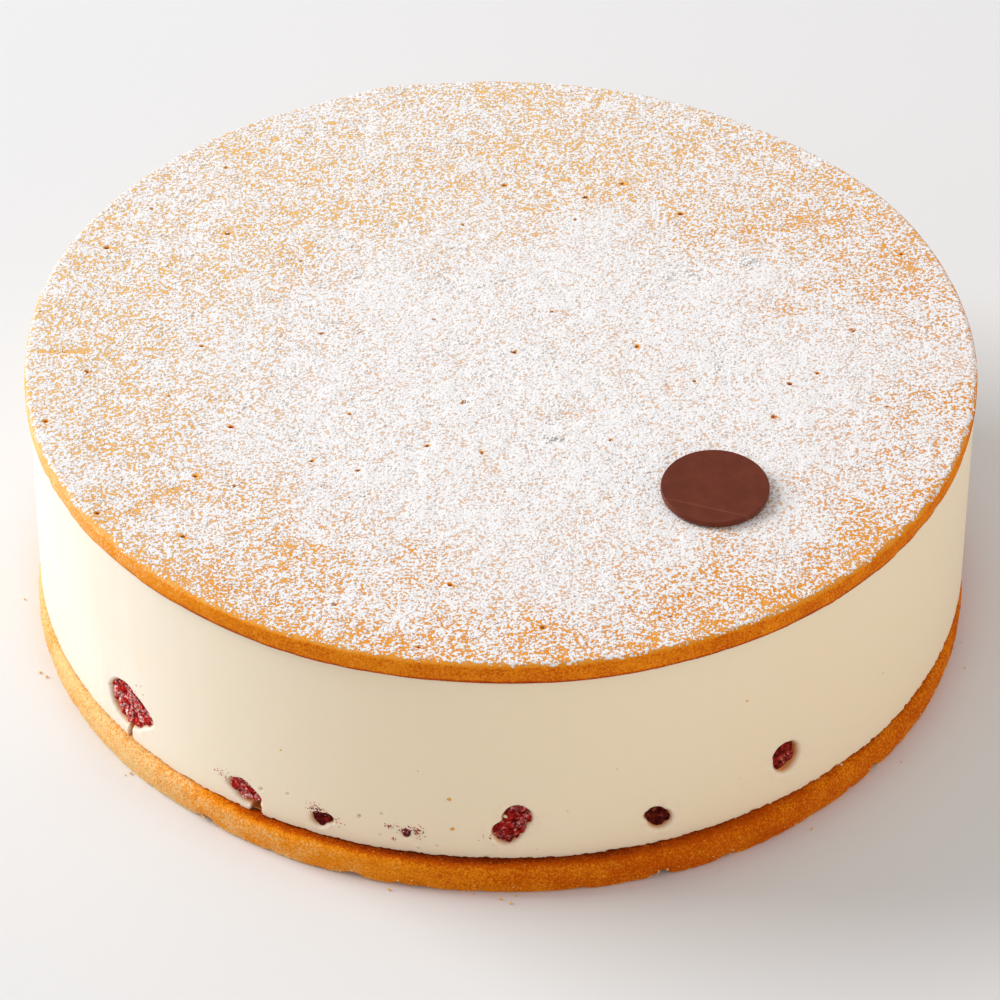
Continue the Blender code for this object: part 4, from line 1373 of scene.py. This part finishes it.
stone_piece("berry_flecks", spots, sizes, 0.9, flesh_of["streaky"], 44, "raspberry")

# %% Cream scraps
# Bearing, height, how far out, size.
SCRAPS = (
    (-96.4, 74.5, -0.1, 0.35), (-95.2, 74.3, 0.0, 0.45), (-94.3, 74.4, -0.1, 0.4),
    (-92.9, 74.2, 0.0, 0.5), (-92.0, 74.4, -0.1, 0.4), (-127.9, 73.6, 0.0, 0.4),
    (-45.2, 10.2, 0.2, 0.35), (-89.4, 25.6, -0.3, 0.6), (-110.2, 14.4, -0.3, 0.8),
)
bearing, height, out, size = np.array(SCRAPS).T
stone_piece("cream_scraps", on_wall(bearing, height, out), size, 0.6, set_cream, 46, "cheese_cream")

# %% Foot crumbs
# Most crumbs cling to the cut foot, and the first few have dropped on the table.
CRUMBS = 420
DROPPED = 26
draw = np.random.default_rng(47)
angle = draw.uniform(0.0, math.tau, CRUMBS)
height = draw.uniform(0.1, 3.2, CRUMBS)
reach = base_outline(angle) - 1.3 + 0.33 * height + draw.uniform(-0.3, 0.1, CRUMBS)
dropped = np.arange(CRUMBS) < DROPPED
reach = np.where(dropped, base_outline(angle) + draw.uniform(0.2, 5.0, CRUMBS), reach)
sizes = draw.uniform(0.12, 0.42, CRUMBS)
height = np.maximum(np.where(dropped, 0.0, height), sizes * 1.1)
x = BASE_AXIS[0] + reach * np.cos(angle)
places = at_height(x, BASE_AXIS[1] + reach * np.sin(angle), height)
crumbs_finish, _, shader = new_material("pale crumbs", Base_Color=tone(240, 190, 116), Roughness=0.9)
shader.inputs["Specular IOR Level"].default_value = 0.1
stone_piece("foot_crumbs", places, sizes, 0.8, crumbs_finish, 48, "sponge")

# %% [markdown]
# ## The chocolate plaque
# The plaque is cast in a shallow mould: a flat, satin face, a fine bright edge and one long
# scratch. It is turned like the layers, then tilted as it leans on the sugar. Its face is bare.

# %% Plaque shape
THICK = 1.8
PLAQUE_EDGE = 0.3
PLAQUE_SIDES = 192
plaque_low, plaque_high = box_mm("chocolate_medallion")
# Each row is how far inside the rim it lies, and how high.
shape = [(4.0, 0.0), (0.4, 0.0), (0.12, 0.12), (0.0, 0.35), (0.0, THICK - PLAQUE_EDGE)]
shape += [(PLAQUE_EDGE * 0.3, THICK - PLAQUE_EDGE * 0.3), (PLAQUE_EDGE, THICK)]
shape += [(0.7, THICK - 0.04), (1.2, THICK - 0.06), (MEDALLION_RADIUS - 3.0, THICK - 0.06)]
shape = [(MEDALLION_RADIUS - inset, height) for inset, height in shape]
points, _, faces, index = turned(shape, PLAQUE_SIDES)
points[:, :2] *= 1.0 + 0.0025 * rough(points, 6.0, 2, 240)[:, None]
points, faces = close_ends(points, faces, index)
tilt = np.array(Matrix.Rotation(MEDALLION_TILT, 3, "X"))
middle_high = (plaque_low[2] + plaque_high[2]) / 2
points = (points - (0.0, 0.0, THICK / 2)) @ tilt.T + (*MEDALLION_PLACE, middle_high)
print(f"plaque from {points[:, 2].min():.2f} to {points[:, 2].max():.2f} mm")

# %% Chocolate
# The scratch is a thin line at one distance along its own crossways direction.
SCRATCH_ACROSS = (0.30, 0.954, 0.0)
SCRATCH_AT = -51.9
chocolate, tree, shader = new_material("chocolate", Roughness=0.34, Specular_IOR_Level=0.16)
place = in_mm(tree)
smudge = cloud(tree, place, 0.25, 3.0, 0.6)
colour = mix(tree, step(tree, smudge, 0.35, 0.7), tone(99, 43, 26), tone(107, 49, 31))
off_scratch = plus(tree, reach_along(tree, place, SCRATCH_ACROSS), -SCRATCH_AT)
scratch = step(tree, maths(tree, "ABSOLUTE", off_scratch), 0.22, 0.0, 0.0, 0.35)
colour = mix(tree, scratch, colour, tone(160, 96, 74))
finish_with(tree, shader, colour, step(tree, smudge, 0.3, 0.7, 0.30, 0.42), smudge, 0.05 * MM)
medallion = new_piece("medallion", points, faces, chocolate)
medallion.data.set_sharp_from_angle(angle=math.radians(60))
on_torte(medallion, "chocolate", "chocolate_medallion")
